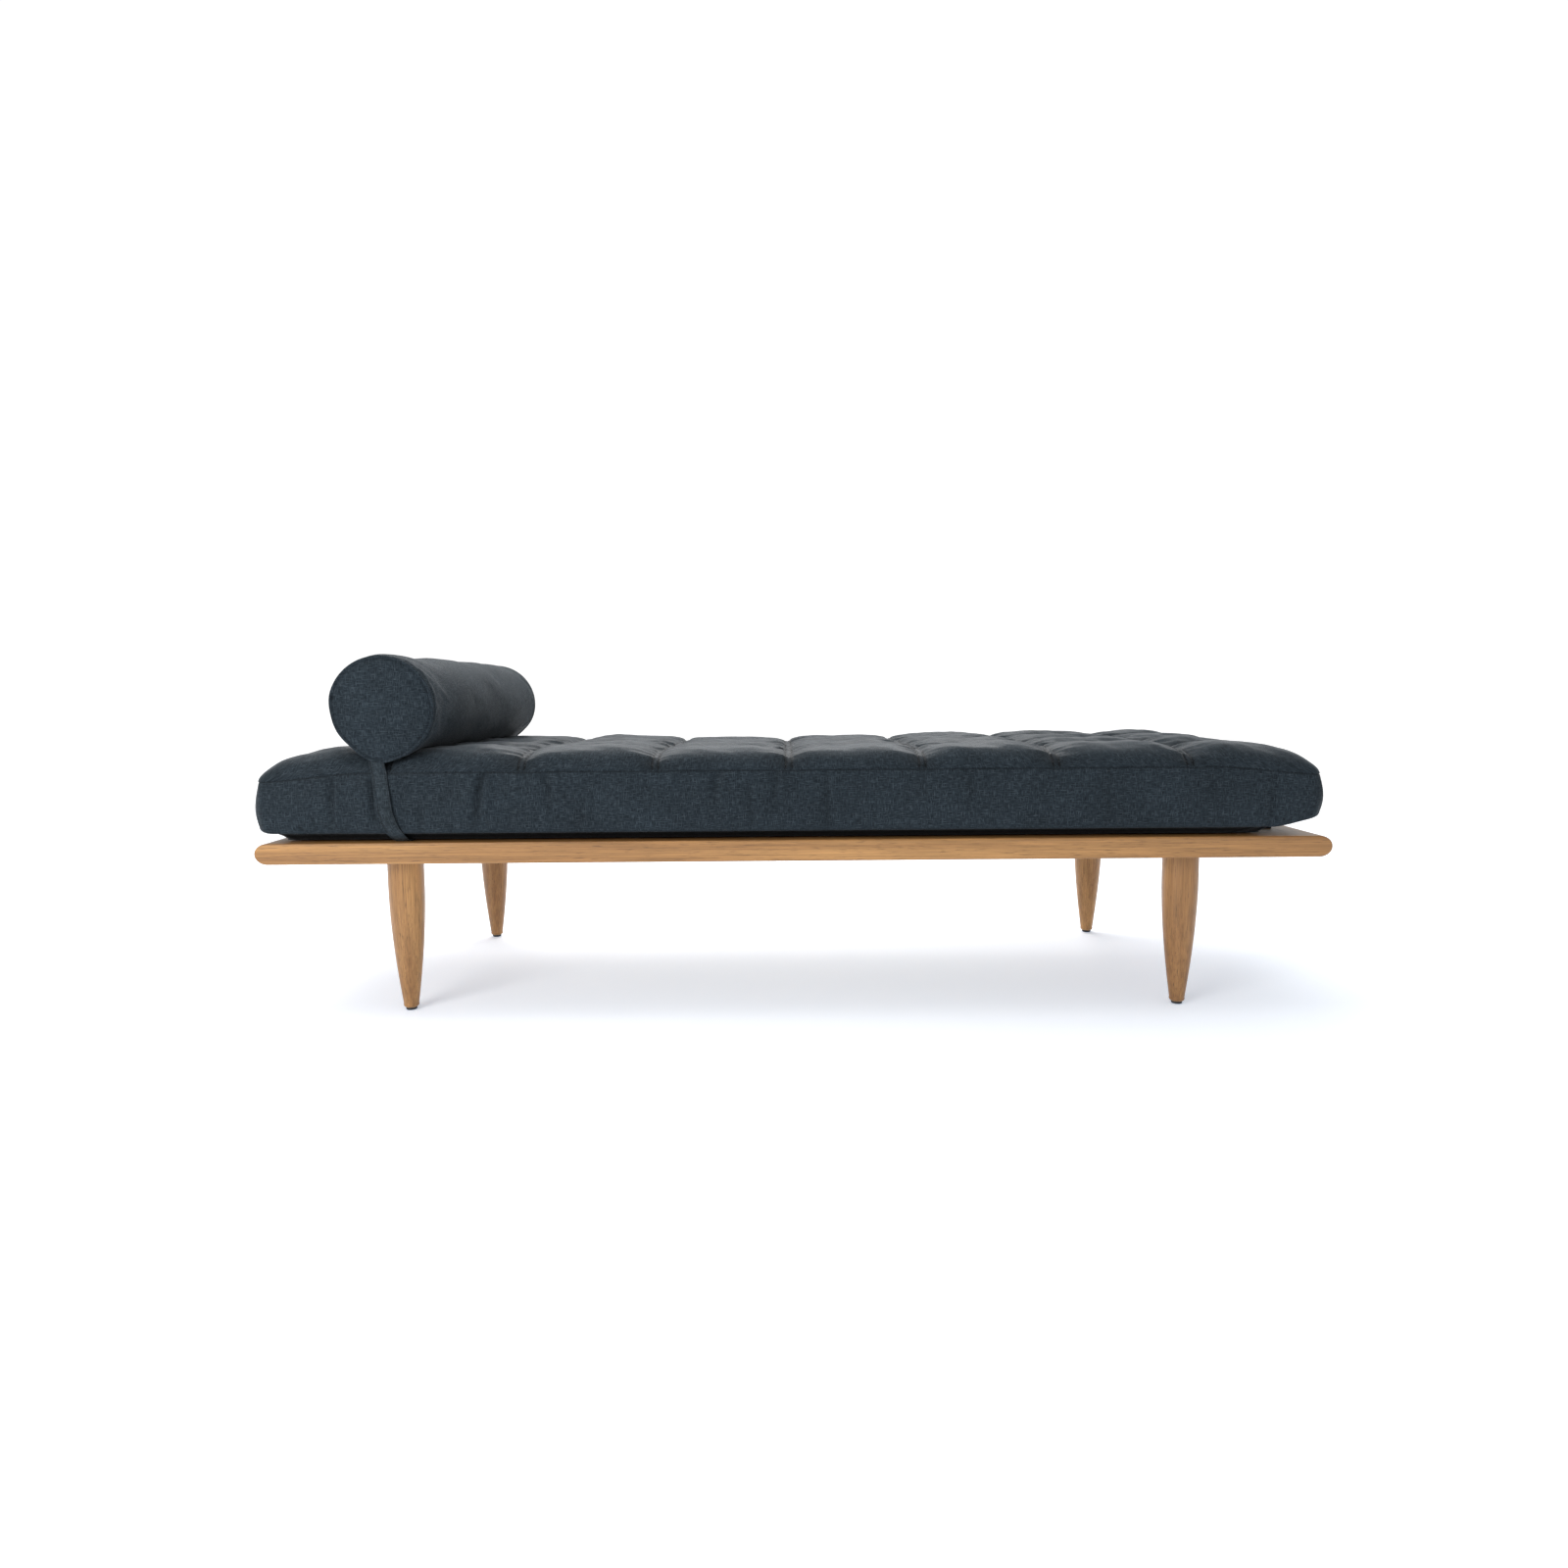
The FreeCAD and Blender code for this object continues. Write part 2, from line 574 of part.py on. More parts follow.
def make_bolster():
    half = BOLSTER_LENGTH / 2
    inner_radius = BOLSTER_RADIUS - FABRIC
    hollow = seated_cylinder(inner_radius, -half, half, BOLSTER_SEAT + FABRIC)
    cover = seated_cylinder(BOLSTER_RADIUS, -half + CAP, half - CAP, BOLSTER_SEAT).cut(hollow)
    core = seated_cylinder(
        inner_radius - SOFT_GAP, -half + CAP + SOFT_GAP, half - CAP - SOFT_GAP, BOLSTER_SEAT + FABRIC + SOFT_GAP
    )
    zip_half = BOLSTER_ZIP_LENGTH / 2
    pocket_half = ZIP_TAPE_WIDTH / 2 + ZIP_POCKET_MARGIN
    pocket = block(
        BOLSTER_X - BOLSTER_RADIUS - 1,
        BOLSTER_X - BOLSTER_POCKET_RADIUS,
        -zip_half,
        zip_half,
        BOLSTER_Z - pocket_half,
        BOLSTER_Z + pocket_half,
    )
    tape_front = BOLSTER_X - BOLSTER_POCKET_RADIUS - BOLSTER_TAPE_THICKNESS
    tape = block(
        tape_front,
        BOLSTER_X - BOLSTER_POCKET_RADIUS,
        -zip_half + ZIP_POCKET_MARGIN,
        zip_half - ZIP_POCKET_MARGIN,
        BOLSTER_Z - ZIP_TAPE_WIDTH / 2,
        BOLSTER_Z + ZIP_TAPE_WIDTH / 2,
    )
    slider_y = zip_half - ZIP_POCKET_MARGIN - SLIDER_LENGTH
    slider = zip_slider(tape_front - SLIDER_GAP, BOLSTER_Z, slider_y, False)
    save("bolster_core", core)
    save("bolster_cover", cover.cut(round_bolster(pocket)))
    save("bolster_front_cap", seated_cylinder(BOLSTER_RADIUS, -half, -half + CAP, BOLSTER_SEAT))
    save("bolster_back_cap", seated_cylinder(BOLSTER_RADIUS, half - CAP, half, BOLSTER_SEAT))
    save("bolster_zip_tape", round_bolster(tape))
    save("bolster_zip_slider", round_bolster(slider))
    strap_level = RAIL_TOP + STRAP_LIFT
    save("strap_front_half", strap_half(-1, strap_level))
    save("strap_back_half", strap_half(1, strap_level + STRAP_THICKNESS + STRAP_PLY_GAP))


os.makedirs("parts", exist_ok=True)
make_frame()
make_legs()
make_mattress()
make_grip_strips()
make_bolster()
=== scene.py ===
import json
import math

import bpy
import numpy as np
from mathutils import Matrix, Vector
from mathutils.bvhtree import BVHTree

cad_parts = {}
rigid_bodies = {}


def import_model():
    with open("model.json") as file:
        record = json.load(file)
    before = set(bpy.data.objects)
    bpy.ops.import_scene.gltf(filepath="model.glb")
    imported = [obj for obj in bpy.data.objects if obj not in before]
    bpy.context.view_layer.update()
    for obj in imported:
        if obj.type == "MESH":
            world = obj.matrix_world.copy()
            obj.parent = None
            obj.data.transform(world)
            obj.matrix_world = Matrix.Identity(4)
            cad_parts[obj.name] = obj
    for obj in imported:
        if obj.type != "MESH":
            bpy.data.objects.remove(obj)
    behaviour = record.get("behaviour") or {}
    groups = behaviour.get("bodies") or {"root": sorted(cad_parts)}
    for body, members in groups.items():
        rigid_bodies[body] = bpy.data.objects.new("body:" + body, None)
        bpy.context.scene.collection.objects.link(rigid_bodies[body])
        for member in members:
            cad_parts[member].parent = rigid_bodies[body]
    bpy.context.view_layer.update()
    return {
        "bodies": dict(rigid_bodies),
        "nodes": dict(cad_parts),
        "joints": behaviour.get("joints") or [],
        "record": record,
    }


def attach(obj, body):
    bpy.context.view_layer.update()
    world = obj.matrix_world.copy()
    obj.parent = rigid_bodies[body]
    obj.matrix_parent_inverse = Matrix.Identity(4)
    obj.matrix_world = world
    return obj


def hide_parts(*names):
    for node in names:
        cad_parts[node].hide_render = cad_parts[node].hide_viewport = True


# The daybed's looks: timber, charcoal upholstery, stitching, zips and strap over the frame.
# Metres throughout. X runs along the bed, Y from front to back, Z up.

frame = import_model()
nodes = frame["nodes"]

# ---- sizes shared by the soft pieces ----
MATTRESS_X = -0.007          # middle of the mattress along the bed
HALF_LENGTH = 0.950
HALF_WIDTH = 0.345
PLAN_CORNER = 0.024
CELL_LENGTH = 0.2375
CELL_WIDTH = 0.1725
CROSS_CHANNELS = [CELL_LENGTH * step for step in range(-3, 4)]
LONG_CHANNELS = [CELL_WIDTH * step for step in range(-1, 2)]
BAND = 0.0055                # half the width between the two stitch lines of a channel
STITCH_ROWS = [-0.0112, -0.0078, -0.0055, -0.0034, 0.0, 0.0034, 0.0055, 0.0078, 0.0112]
CROSS_DEPTH = 0.0150
LONG_DEPTH = 0.0210
CROSS_FALL = 3.6             # how steeply the pillows fall into the channels
LONG_FALL = 2
CHANNEL_REACH_X = 0.1185
CHANNEL_REACH_Y = 0.086
STITCH_GROOVE = 0.0022       # depth of the groove along each stitch line
GROOVE_WIDTH = 0.0017
BAND_LIFT = 0.0022           # the strip between two stitch lines stands a little proud
END_SHOULDER = 0.137
SIDE_SHOULDER = 0.082
SIDE_FULLNESS = 2.3          # above 2, the front face stands steeper and turns over sooner
FRONT_CRESTS = [0.4900, 0.4925, 0.4925, 0.4880, 0.4885, 0.4925, 0.4905, 0.4890]
BACK_CRESTS = [0.4870, 0.4870, 0.4875, 0.4815, 0.4835, 0.4880, 0.4900, 0.4910]
SEAM_MIDDLE = 0.4480
SEAM_END = 0.4330
SEAM_GROOVE = 0.0018
RAIL_TOP = 0.324
BASE = RAIL_TOP + 0.003
EDGE = BASE + 0.0125         # lower seam, where the boxing meets the underside
EDGE_CURL = 0.0140           # how much higher it lifts at the right end
LEFT_CURL = 0.0010           # and, more gently, toward the left end
STEP = 0.0052

BOLSTER_X = -0.720
BOLSTER_Z = 0.5635
BOLSTER_RADIUS = 0.094
BOLSTER_HALF = 0.3465
BOLSTER_SKEW = 0.010         # its back end lies a little further along than its front
BOLSTER_TRAVEL = 1.425
POINT_DROOP = 0.0045         # each end sags to a soft point where the strap pulls it
FLANK_PULL = 0.0022          # and is drawn in on both sides of that point
UNDER_SHADE = 0.45           # painted shade on the underside, where the bolster rests on the mattress
SEAT_REACH = 0.503           # below this height the bolster may meet the mattress
SEAT_SOFTNESS = 0.003        # over which its round side eases into its flat seat
BOLSTER_ZIP_ANGLE = math.radians(240.0)     # clockwise from straight up, seen from the front
BOLSTER_ZIP_SEAT = 0.0920
CAP_CROWN = 0.005
CAP_BAND = 0.0065

ZIP_HEIGHT = 0.392
ZIP_HALF = 0.300
ZIP_TAPE = 0.025
STRAP_WIDTH = 0.027
STRAP_THICKNESS = 0.0012
STRAP_HEM = 0.0028           # its rows of stitches run this far in from the edges
STRAP_STANDOFF = 0.0012      # it lies this far off the mattress's sides


# ---- small helpers ----
def smoothstep(value):
    value = np.clip(value, 0.0, 1.0)
    return value * value * (3.0 - 2.0 * value)


def bell(value, width=1.0, power=2):
    """One at zero, fading smoothly to nothing a couple of widths away."""
    return np.exp(-((value / width) ** power))


def together(*parts):
    """Arrays of X, Y and so on joined into one array of points."""
    return np.stack(parts, axis=-1)


def drift(seed, scale, *coordinates):
    """Smooth random field of about unit height: waves of nearly one length, all ways round."""
    random = np.random.default_rng(seed)
    total = 0.0
    count = 14
    for _ in range(count):
        direction = random.normal(size=len(coordinates))
        direction /= np.linalg.norm(direction)
        length = scale * random.uniform(0.7, 1.6)
        phase = random.uniform(0, 2 * math.pi)
        run = sum(part * axis for part, axis in zip(direction, coordinates))
        total = total + np.sin(run * 2 * math.pi / length + phase)
    return total / math.sqrt(count / 2)


def grid_faces(index):
    """Quads over vertex numbers laid out [along X, along Y], facing up."""
    corners = [index[:-1, :-1], index[1:, :-1], index[1:, 1:], index[:-1, 1:]]
    return np.stack(corners, axis=-1).reshape(-1, 4)


def band_faces(rings):
    """Quads between closed rings of vertices, one ring below the other, facing out."""
    ahead = np.roll(rings, -1, axis=1)
    corners = [rings[:-1], rings[1:], ahead[1:], ahead[:-1]]
    return np.stack(corners, axis=-1).reshape(-1, 4)


def make_piece(name, points, faces, finish, body, uv=None, painted_shade=None):
    """One mesh object on a body. uv holds one pair for every corner of every face.

    The last argument is painted shade: how much each vertex is darkened, from 0 to 1.
    """
    mesh = bpy.data.meshes.new(name)
    mesh.from_pydata(np.asarray(points).tolist(), [], faces)
    if uv is not None:
        layer = mesh.uv_layers.new(name="weave")
        layer.data.foreach_set("uv", np.asarray(uv, dtype=np.float32).ravel())
    if painted_shade is not None:
        # painted shade, kept on the mesh for the cloth colour to be darkened by
        shade_amount = mesh.attributes.new("shade_amount", "FLOAT", "POINT")
        shade_amount.data.foreach_set("value", np.asarray(painted_shade, dtype=np.float32))
    mesh.materials.append(finish)
    mesh.validate()
    mesh.shade_smooth()
    piece = bpy.data.objects.new(name, mesh)
    bpy.context.scene.collection.objects.link(piece)
    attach(piece, body)
    return piece


CLOTH = {
    "quality": 5, "mass": 0.25, "tension_stiffness": 12.0, "compression_stiffness": 12.0,
    "shear_stiffness": 6.0, "bending_stiffness": 0.05, "use_pressure": True,
}


def settle_cloth(piece, held, slack, pressure, frames, cap):
    """Let a cover find its own wrinkles by cloth simulation, then keep the result in its mesh.

    held is how firmly each vertex is kept in place, slack is how much longer the cloth is
    cut than its shape, and cap is the furthest any vertex may move.
    """
    mesh = piece.data
    group = piece.vertex_groups.new(name="held")
    for number, weight in enumerate(held):
        if weight > 0:
            group.add([number], float(weight), "REPLACE")
    cloth = piece.modifiers.new("settle", "CLOTH")
    settings = cloth.settings
    for key, value in CLOTH.items():
        setattr(settings, key, value)
    settings.vertex_group_mass = "held"
    settings.shrink_min = -slack
    settings.uniform_pressure_force = pressure
    settings.effector_weights.gravity = 0.0
    cloth.collision_settings.use_collision = False
    cloth.point_cache.frame_start = 1
    cloth.point_cache.frame_end = frames
    scene = bpy.context.scene
    for frame in range(1, frames + 1):
        scene.frame_set(frame)
    settled = piece.evaluated_get(bpy.context.evaluated_depsgraph_get()).data
    count = len(mesh.vertices)
    before = np.empty(count * 3)
    after = np.empty(count * 3)
    mesh.vertices.foreach_get("co", before)
    settled.vertices.foreach_get("co", after)
    move = (after - before).reshape(-1, 3)
    length = np.linalg.norm(move, axis=1, keepdims=True)
    move = move * cap * np.tanh(length / cap) / np.maximum(length, 1e-9)
    move = move * (1 - np.asarray(held)[:, None])
    piece.modifiers.remove(cloth)
    piece.vertex_groups.remove(group)
    scene.frame_set(1)
    mesh.vertices.foreach_set("co", (before.reshape(-1, 3) + move).ravel())
    mesh.update()


# ---- materials ----
def new_material(name):
    material = bpy.data.materials.new(name)
    material.use_nodes = True
    tree = material.node_tree
    tree.nodes.clear()
    output = tree.nodes.new("ShaderNodeOutputMaterial")
    shader = tree.nodes.new("ShaderNodeBsdfPrincipled")
    tree.links.new(shader.outputs["BSDF"], output.inputs["Surface"])
    return material, tree, shader


def add(tree, kind, inputs=None, **settings):
    """A shader node, with its settings and with its inputs given as values or links."""
    node = tree.nodes.new("ShaderNode" + kind)
    for key, value in settings.items():
        setattr(node, key, value)
    for key, value in (inputs or {}).items():
        if isinstance(value, bpy.types.NodeSocket):
            tree.links.new(value, node.inputs[key])
        else:
            node.inputs[key].default_value = value
    return node


def stretched_noise(tree, coordinates, scale, detail=3.0, roughness=0.55, shift=(0, 0, 0)):
    mapping = add(tree, "Mapping", {"Vector": coordinates, "Scale": scale, "Location": shift})
    noise = add(
        tree,
        "TexNoise",
        {"Vector": mapping.outputs[0], "Scale": 1.0, "Detail": detail, "Roughness": roughness},
    )
    return noise.outputs["Fac"]


def ramp(tree, value, stops):
    """Colour ramp from (position, colour) pairs."""
    node = add(tree, "ValToRGB", {"Fac": value})
    elements = node.color_ramp.elements
    while len(elements) < len(stops):
        elements.new(1.0)
    for element, (position, colour) in zip(elements, stops):
        element.position = position
        element.color = (*colour, 1.0)
    return node.outputs["Color"]


def grey(level):
    return (level, level, level)


def maths(tree, operation, first, second=0.0):
    return add(tree, "Math", {0: first, 1: second}, operation=operation).outputs[0]


def mix_colours(tree, amount, first, second, blend="MIX"):
    node = add(tree, "Mix", {0: amount, 6: first, 7: second}, data_type="RGBA", blend_type=blend)
    return node.outputs[2]


def link(tree, source, shader, socket):
    tree.links.new(source, shader.inputs[socket])


def set_values(shader, values):
    """Numbers and colours that are the same all over, set on the shader's own sockets."""
    for socket, value in values.items():
        shader.inputs[socket].default_value = value


def fabric(name, dark, middle, light, sheen, fuzz=0.0, pitch=0.0013):
    """Heathered plain weave: slubs both ways, a fine thread relief and a soft bloom.

    fuzz is the short nap that catches light only when seen almost edge on.
    """
    material, tree, shader = new_material(name)
    weave = add(tree, "UVMap", uv_map="weave").outputs["UV"]
    long_slubs = stretched_noise(tree, weave, (80, 560, 1), 2.5, 0.6)
    short_slubs = stretched_noise(tree, weave, (560, 80, 1), 2.5, 0.6, (7.3, 1.9, 0))
    heather = maths(tree, "MAXIMUM", long_slubs, short_slubs)
    tone = ramp(tree, heather, [(0.40, dark), (0.56, middle), (0.73, light)])
    patches = stretched_noise(tree, weave, (9, 9, 1), 4.5, 0.7, (3.1, 8.2, 0))
    shade = ramp(tree, patches, [(0.3, grey(0.74)), (0.7, grey(1.06))])
    toned = mix_colours(tree, 1.0, tone, shade, "MULTIPLY")
    # Painted shade: a per-vertex value darkens the colour in channels, seams, wrinkles and on undersides.
    depth = add(tree, "Attribute", attribute_name="shade_amount").outputs["Fac"]
    shade_tint = ramp(tree, depth, [(0.0, grey(1.0)), (0.5, grey(0.62)), (1.0, grey(0.10))])
    link(tree, mix_colours(tree, 1.0, toned, shade_tint, "MULTIPLY"), shader, "Base Color")
    turns = 2 * math.pi / pitch
    parts = add(tree, "SeparateXYZ", {"Vector": weave})
    across = maths(tree, "SINE", maths(tree, "MULTIPLY", parts.outputs["X"], turns))
    along = maths(tree, "SINE", maths(tree, "MULTIPLY", parts.outputs["Y"], turns))
    threads = maths(tree, "MULTIPLY", across, along)
    relief = maths(tree, "ADD", maths(tree, "MULTIPLY", threads, 0.35), heather)
    bump = add(tree, "Bump", {"Height": relief, "Strength": 0.40, "Distance": 0.0010})
    link(tree, bump.outputs["Normal"], shader, "Normal")
    rough = ramp(tree, heather, [(0.4, grey(0.98)), (0.7, grey(0.84))])
    link(tree, rough, shader, "Roughness")
    set_values(shader, {"Specular IOR Level": 0.15, "Coat Weight": fuzz})
    set_values(shader, {"Coat Roughness": 0.30, "Coat IOR": 1.08})
    set_values(shader, {"Sheen Weight": sheen, "Sheen Roughness": 0.30, "Sheen Tint": (0.86, 0.93, 1.0, 1.0)})
    return material


def wood(name, axis, pale, deep, pore, coat=0.0):
    """Timber cut from the solid, its grain along one axis: rings, fibres and open pores."""
    material, tree, shader = new_material(name)
    place = add(tree, "TexCoord").outputs["Object"]

    def scaled(along, across):
        return tuple(along if letter == axis else across for letter in "XYZ")

    sway = stretched_noise(tree, place, scaled(1.6, 9.0), 2.0, 0.5)
    rings = stretched_noise(tree, place, scaled(0.9, 70.0), 3.0, 0.6, (0.3, 0.7, 0.1))
    fibres = stretched_noise(tree, place, scaled(6.0, 380.0), 4.0, 0.7, (0.9, 0.2, 0.5))
    flecks = stretched_noise(tree, place, scaled(34.0, 900.0), 2.0, 0.5, (0.4, 0.8, 0.3))
    figure = maths(tree, "ADD", maths(tree, "MULTIPLY", sway, 0.45), maths(tree, "MULTIPLY", rings, 0.55))
    halfway = tuple(0.5 * (a + b) for a, b in zip(pale, deep))
    body = ramp(tree, figure, [(0.36, deep), (0.52, halfway), (0.62, pale)])
    strands = ramp(tree, fibres, [(0.32, grey(0.66)), (0.64, grey(1.14))])
    toned = mix_colours(tree, 1.0, body, strands, "MULTIPLY")
    pores = ramp(tree, flecks, [(0.60, grey(0.0)), (0.70, grey(1.0))])
    pored = mix_colours(tree, maths(tree, "MULTIPLY", pores, 0.75), toned, (*pore, 1.0))
    link(tree, pored, shader, "Base Color")
    height = maths(tree, "SUBTRACT", maths(tree, "MULTIPLY", fibres, 0.4), pores)
    bump = add(tree, "Bump", {"Height": height, "Strength": 0.25, "Distance": 0.0004})
    link(tree, bump.outputs["Normal"], shader, "Normal")
    rough = ramp(tree, fibres, [(0.3, grey(0.50)), (0.7, grey(0.38))])
    link(tree, rough, shader, "Roughness")
    set_values(shader, {"Specular IOR Level": 0.45, "Coat Weight": coat, "Coat Roughness": 0.35})
    return material


def plain(name, dark, light, roughness, metallic=0.0, grain=300.0, relief=0.0002):
    """A material with fine mottling, for metal, plastic, foam, thread and tape."""
    material, tree, shader = new_material(name)
    place = add(tree, "TexCoord").outputs["Object"]
    speckle = stretched_noise(tree, place, grey(grain), 4.0, 0.6)
    link(tree, ramp(tree, speckle, [(0.35, dark), (0.65, light)]), shader, "Base Color")
    bump = add(tree, "Bump", {"Height": speckle, "Strength": 0.4, "Distance": relief})
    link(tree, bump.outputs["Normal"], shader, "Normal")
    smoother = max(roughness - 0.08, 0.05)
    rougher = min(roughness + 0.08, 1.0)
    link(tree, ramp(tree, speckle, [(0.3, grey(smoother)), (0.7, grey(rougher))]), shader, "Roughness")
    set_values(shader, {"Metallic": metallic})
    return material


# each timber as (pale, deep, pore), each cloth as (dark, middle, light)
RAIL_TIMBER = ((0.450, 0.232, 0.077), (0.265, 0.121, 0.035), (0.075, 0.032, 0.012))
SLAT_TIMBER = ((0.60, 0.45, 0.28), (0.46, 0.32, 0.18), (0.25, 0.15, 0.08))
CHARCOAL = ((0.008, 0.012, 0.016), (0.0195, 0.0285, 0.0365), (0.046, 0.060, 0.072))
BLACK_LINING = ((0.008, 0.008, 0.009), (0.014, 0.014, 0.016), (0.024, 0.024, 0.027))
STRAP_CLOTH = ((0.013, 0.018, 0.022), (0.027, 0.037, 0.045), (0.056, 0.070, 0.082))
OILED = 0.15                 # the thin coat on the frame; the slats have none

rail_wood = wood("rail_wood", "X", *RAIL_TIMBER, OILED)
cross_wood = wood("cross_wood", "Y", *RAIL_TIMBER, OILED)
leg_wood = wood("leg_wood", "Z", *RAIL_TIMBER, OILED)
slat_wood = wood("slat_wood", "Y", *SLAT_TIMBER)
ledger_wood = wood("ledger_wood", "X", *SLAT_TIMBER)
upholstery = fabric("upholstery", *CHARCOAL, sheen=0.12, fuzz=0.5)
bolster_cloth = fabric("bolster_cloth", *CHARCOAL, sheen=0.06, fuzz=0.12)
lining = fabric("base_lining", *BLACK_LINING, sheen=0.1)
webbing = fabric("webbing", *STRAP_CLOTH, sheen=0.10, fuzz=0.2, pitch=0.0016)
thread = plain("thread", (0.010, 0.013, 0.017), (0.022, 0.028, 0.034), 0.7, 0.0, 900.0, 0.0001)
foam = plain("foam", (0.62, 0.58, 0.48), (0.78, 0.74, 0.64), 0.95, 0.0, 500.0, 0.0008)
tape_cloth = plain("zip_tape", (0.008, 0.010, 0.012), (0.018, 0.021, 0.024), 0.85, 0.0, 1200.0, 0.0002)
zip_metal = plain("zip_metal", (0.10, 0.10, 0.105), (0.18, 0.18, 0.185), 0.35, 1.0, 700.0, 0.00005)
grip_tape = plain("grip_tape", (0.010, 0.010, 0.011), (0.030, 0.030, 0.033), 0.95, 0.0, 1400.0, 0.0006)
steel = plain("steel", (0.42, 0.41, 0.39), (0.60, 0.59, 0.57), 0.38, 1.0, 500.0, 0.00005)
glide_plastic = plain("glide_plastic", (0.012, 0.012, 0.013), (0.026, 0.026, 0.028), 0.55, 0.0, 400.0, 0.0001)


def dress(prefixes, material):
    """Give every CAD node whose name starts or ends so its material."""
    for name, node in nodes.items():
        if name.startswith(prefixes) or name.endswith(prefixes):
            if node.material_slots:
                node.material_slots[0].material = material
            else:
                node.data.materials.append(material)


dress(("front_rail", "back_rail"), rail_wood)
dress(("left_end_rail", "right_end_rail", "left_leg_bearer", "right_leg_bearer"), cross_wood)
dress(("_leg",), leg_wood)
dress(("slat_0", "slat_1", "corner_dowels", "bearer_dowels"), slat_wood)
dress(("front_ledger", "back_ledger"), ledger_wood)
dress(("_leg_bolt", "_screws", "leg_insert_nuts", "glide_nails"), steel)
dress(("_glide",), glide_plastic)
dress(("grip_",), grip_tape)
dress(("mattress_zip_slider", "bolster_zip_slider"), zip_metal)


# ---- mattress ----
def grid_lines(half, channels, shoulder, step):
    """Positions across the top, closer at the stitched channels and over the shoulders."""
    angles = np.concatenate([[0.0, 0.05, 0.13], np.linspace(0.22, math.pi / 2, int(shoulder * 1.15 / step))])
    edge = half - shoulder * (1 - np.cos(angles))
    stops = [-(half - shoulder)]
    for channel in channels:
        stops += [channel + row for row in STITCH_ROWS]
    stops.append(half - shoulder)
    inner = []
    for start, end in zip(stops[:-1], stops[1:]):
        count = max(1, round((end - start) / step))
        inner += list(np.linspace(start, end, count, endpoint=False))
    return np.concatenate([-edge[:-1], inner, edge[::-1]])


def nearest(position, channels):
    """Signed distance to the nearest channel, and which channel it is."""
    gaps = position[..., None] - np.array(channels)
    which = np.abs(gaps).argmin(axis=-1)
    return np.take_along_axis(gaps, which[..., None], axis=-1)[..., 0], which


def puckers(along, off, seed):
    """Small gathers square to a line of stitches, strongest a finger's width from it."""
    side = np.where(off > 0, 1.0, -1.0)
    wave = drift(seed, 0.026, along, 0.35 * side) + 0.5 * drift(seed + 1, 0.013, along, 0.35 * side)
    reach = np.abs(off) / 0.013
    return wave * reach * np.exp(1 - reach)


def crest_height(x, y):
    """Height of the pillows: they stand unevenly along the bed and from front to back."""
    middles = (np.arange(8) - 3.5) * CELL_LENGTH
    to_back = np.clip(y / (3 * CELL_WIDTH) + 0.5, 0, 1)
    front = np.interp(x, middles, FRONT_CRESTS)
    back = np.interp(x, middles, BACK_CRESTS)
    return front + (back - front) * to_back


def seam_height(x, y):
    """Height of the seam between the top and the boxing: lower at the two ends."""
    to_end = smoothstep((np.abs(x) - (HALF_LENGTH - 0.20)) / 0.20)
    level = SEAM_MIDDLE + (SEAM_END - SEAM_MIDDLE) * to_end
    off_cross, _ = nearest(x, CROSS_CHANNELS)
    pull = 0.0015 * bell(off_cross, 0.02) * (1 - to_end)
    return level - pull


def round_corners(x, y):
    """Bend the square corners of the plan to a radius."""
    a = np.clip((np.abs(x) - (HALF_LENGTH - PLAN_CORNER)) / PLAN_CORNER, 0, 1)
    b = np.clip((np.abs(y) - (HALF_WIDTH - PLAN_CORNER)) / PLAN_CORNER, 0, 1)
    shift_x = PLAN_CORNER * a * (np.sqrt(1 - b * b / 2) - 1)
    shift_y = PLAN_CORNER * b * (np.sqrt(1 - a * a / 2) - 1)
    return x + np.sign(x) * shift_x, y + np.sign(y) * shift_y


def plan_normals(x, y):
    """Outward direction in the plan at points of the outline."""
    a = np.clip((np.abs(x) - (HALF_LENGTH - PLAN_CORNER)) / PLAN_CORNER, 0, 1)
    b = np.clip((np.abs(y) - (HALF_WIDTH - PLAN_CORNER)) / PLAN_CORNER, 0, 1)
    on_end = np.isclose(a, 1.0)
    on_side = np.isclose(b, 1.0)
    toward_x = np.where(on_end | on_side, a * np.sqrt(1 - b * b / 2), 0) * np.sign(x)
    toward_y = np.where(on_end | on_side, b * np.sqrt(1 - a * a / 2), 0) * np.sign(y)
    length = np.hypot(toward_x, toward_y)
    return toward_x / length, toward_y / length


def normals_of(points):
    """Unit normals of a grid of points laid out [along X, along Y]."""
    along = np.gradient(points, axis=0)
    across = np.gradient(points, axis=1)
    normal = np.cross(along, across)
    return normal / np.linalg.norm(normal, axis=-1, keepdims=True)


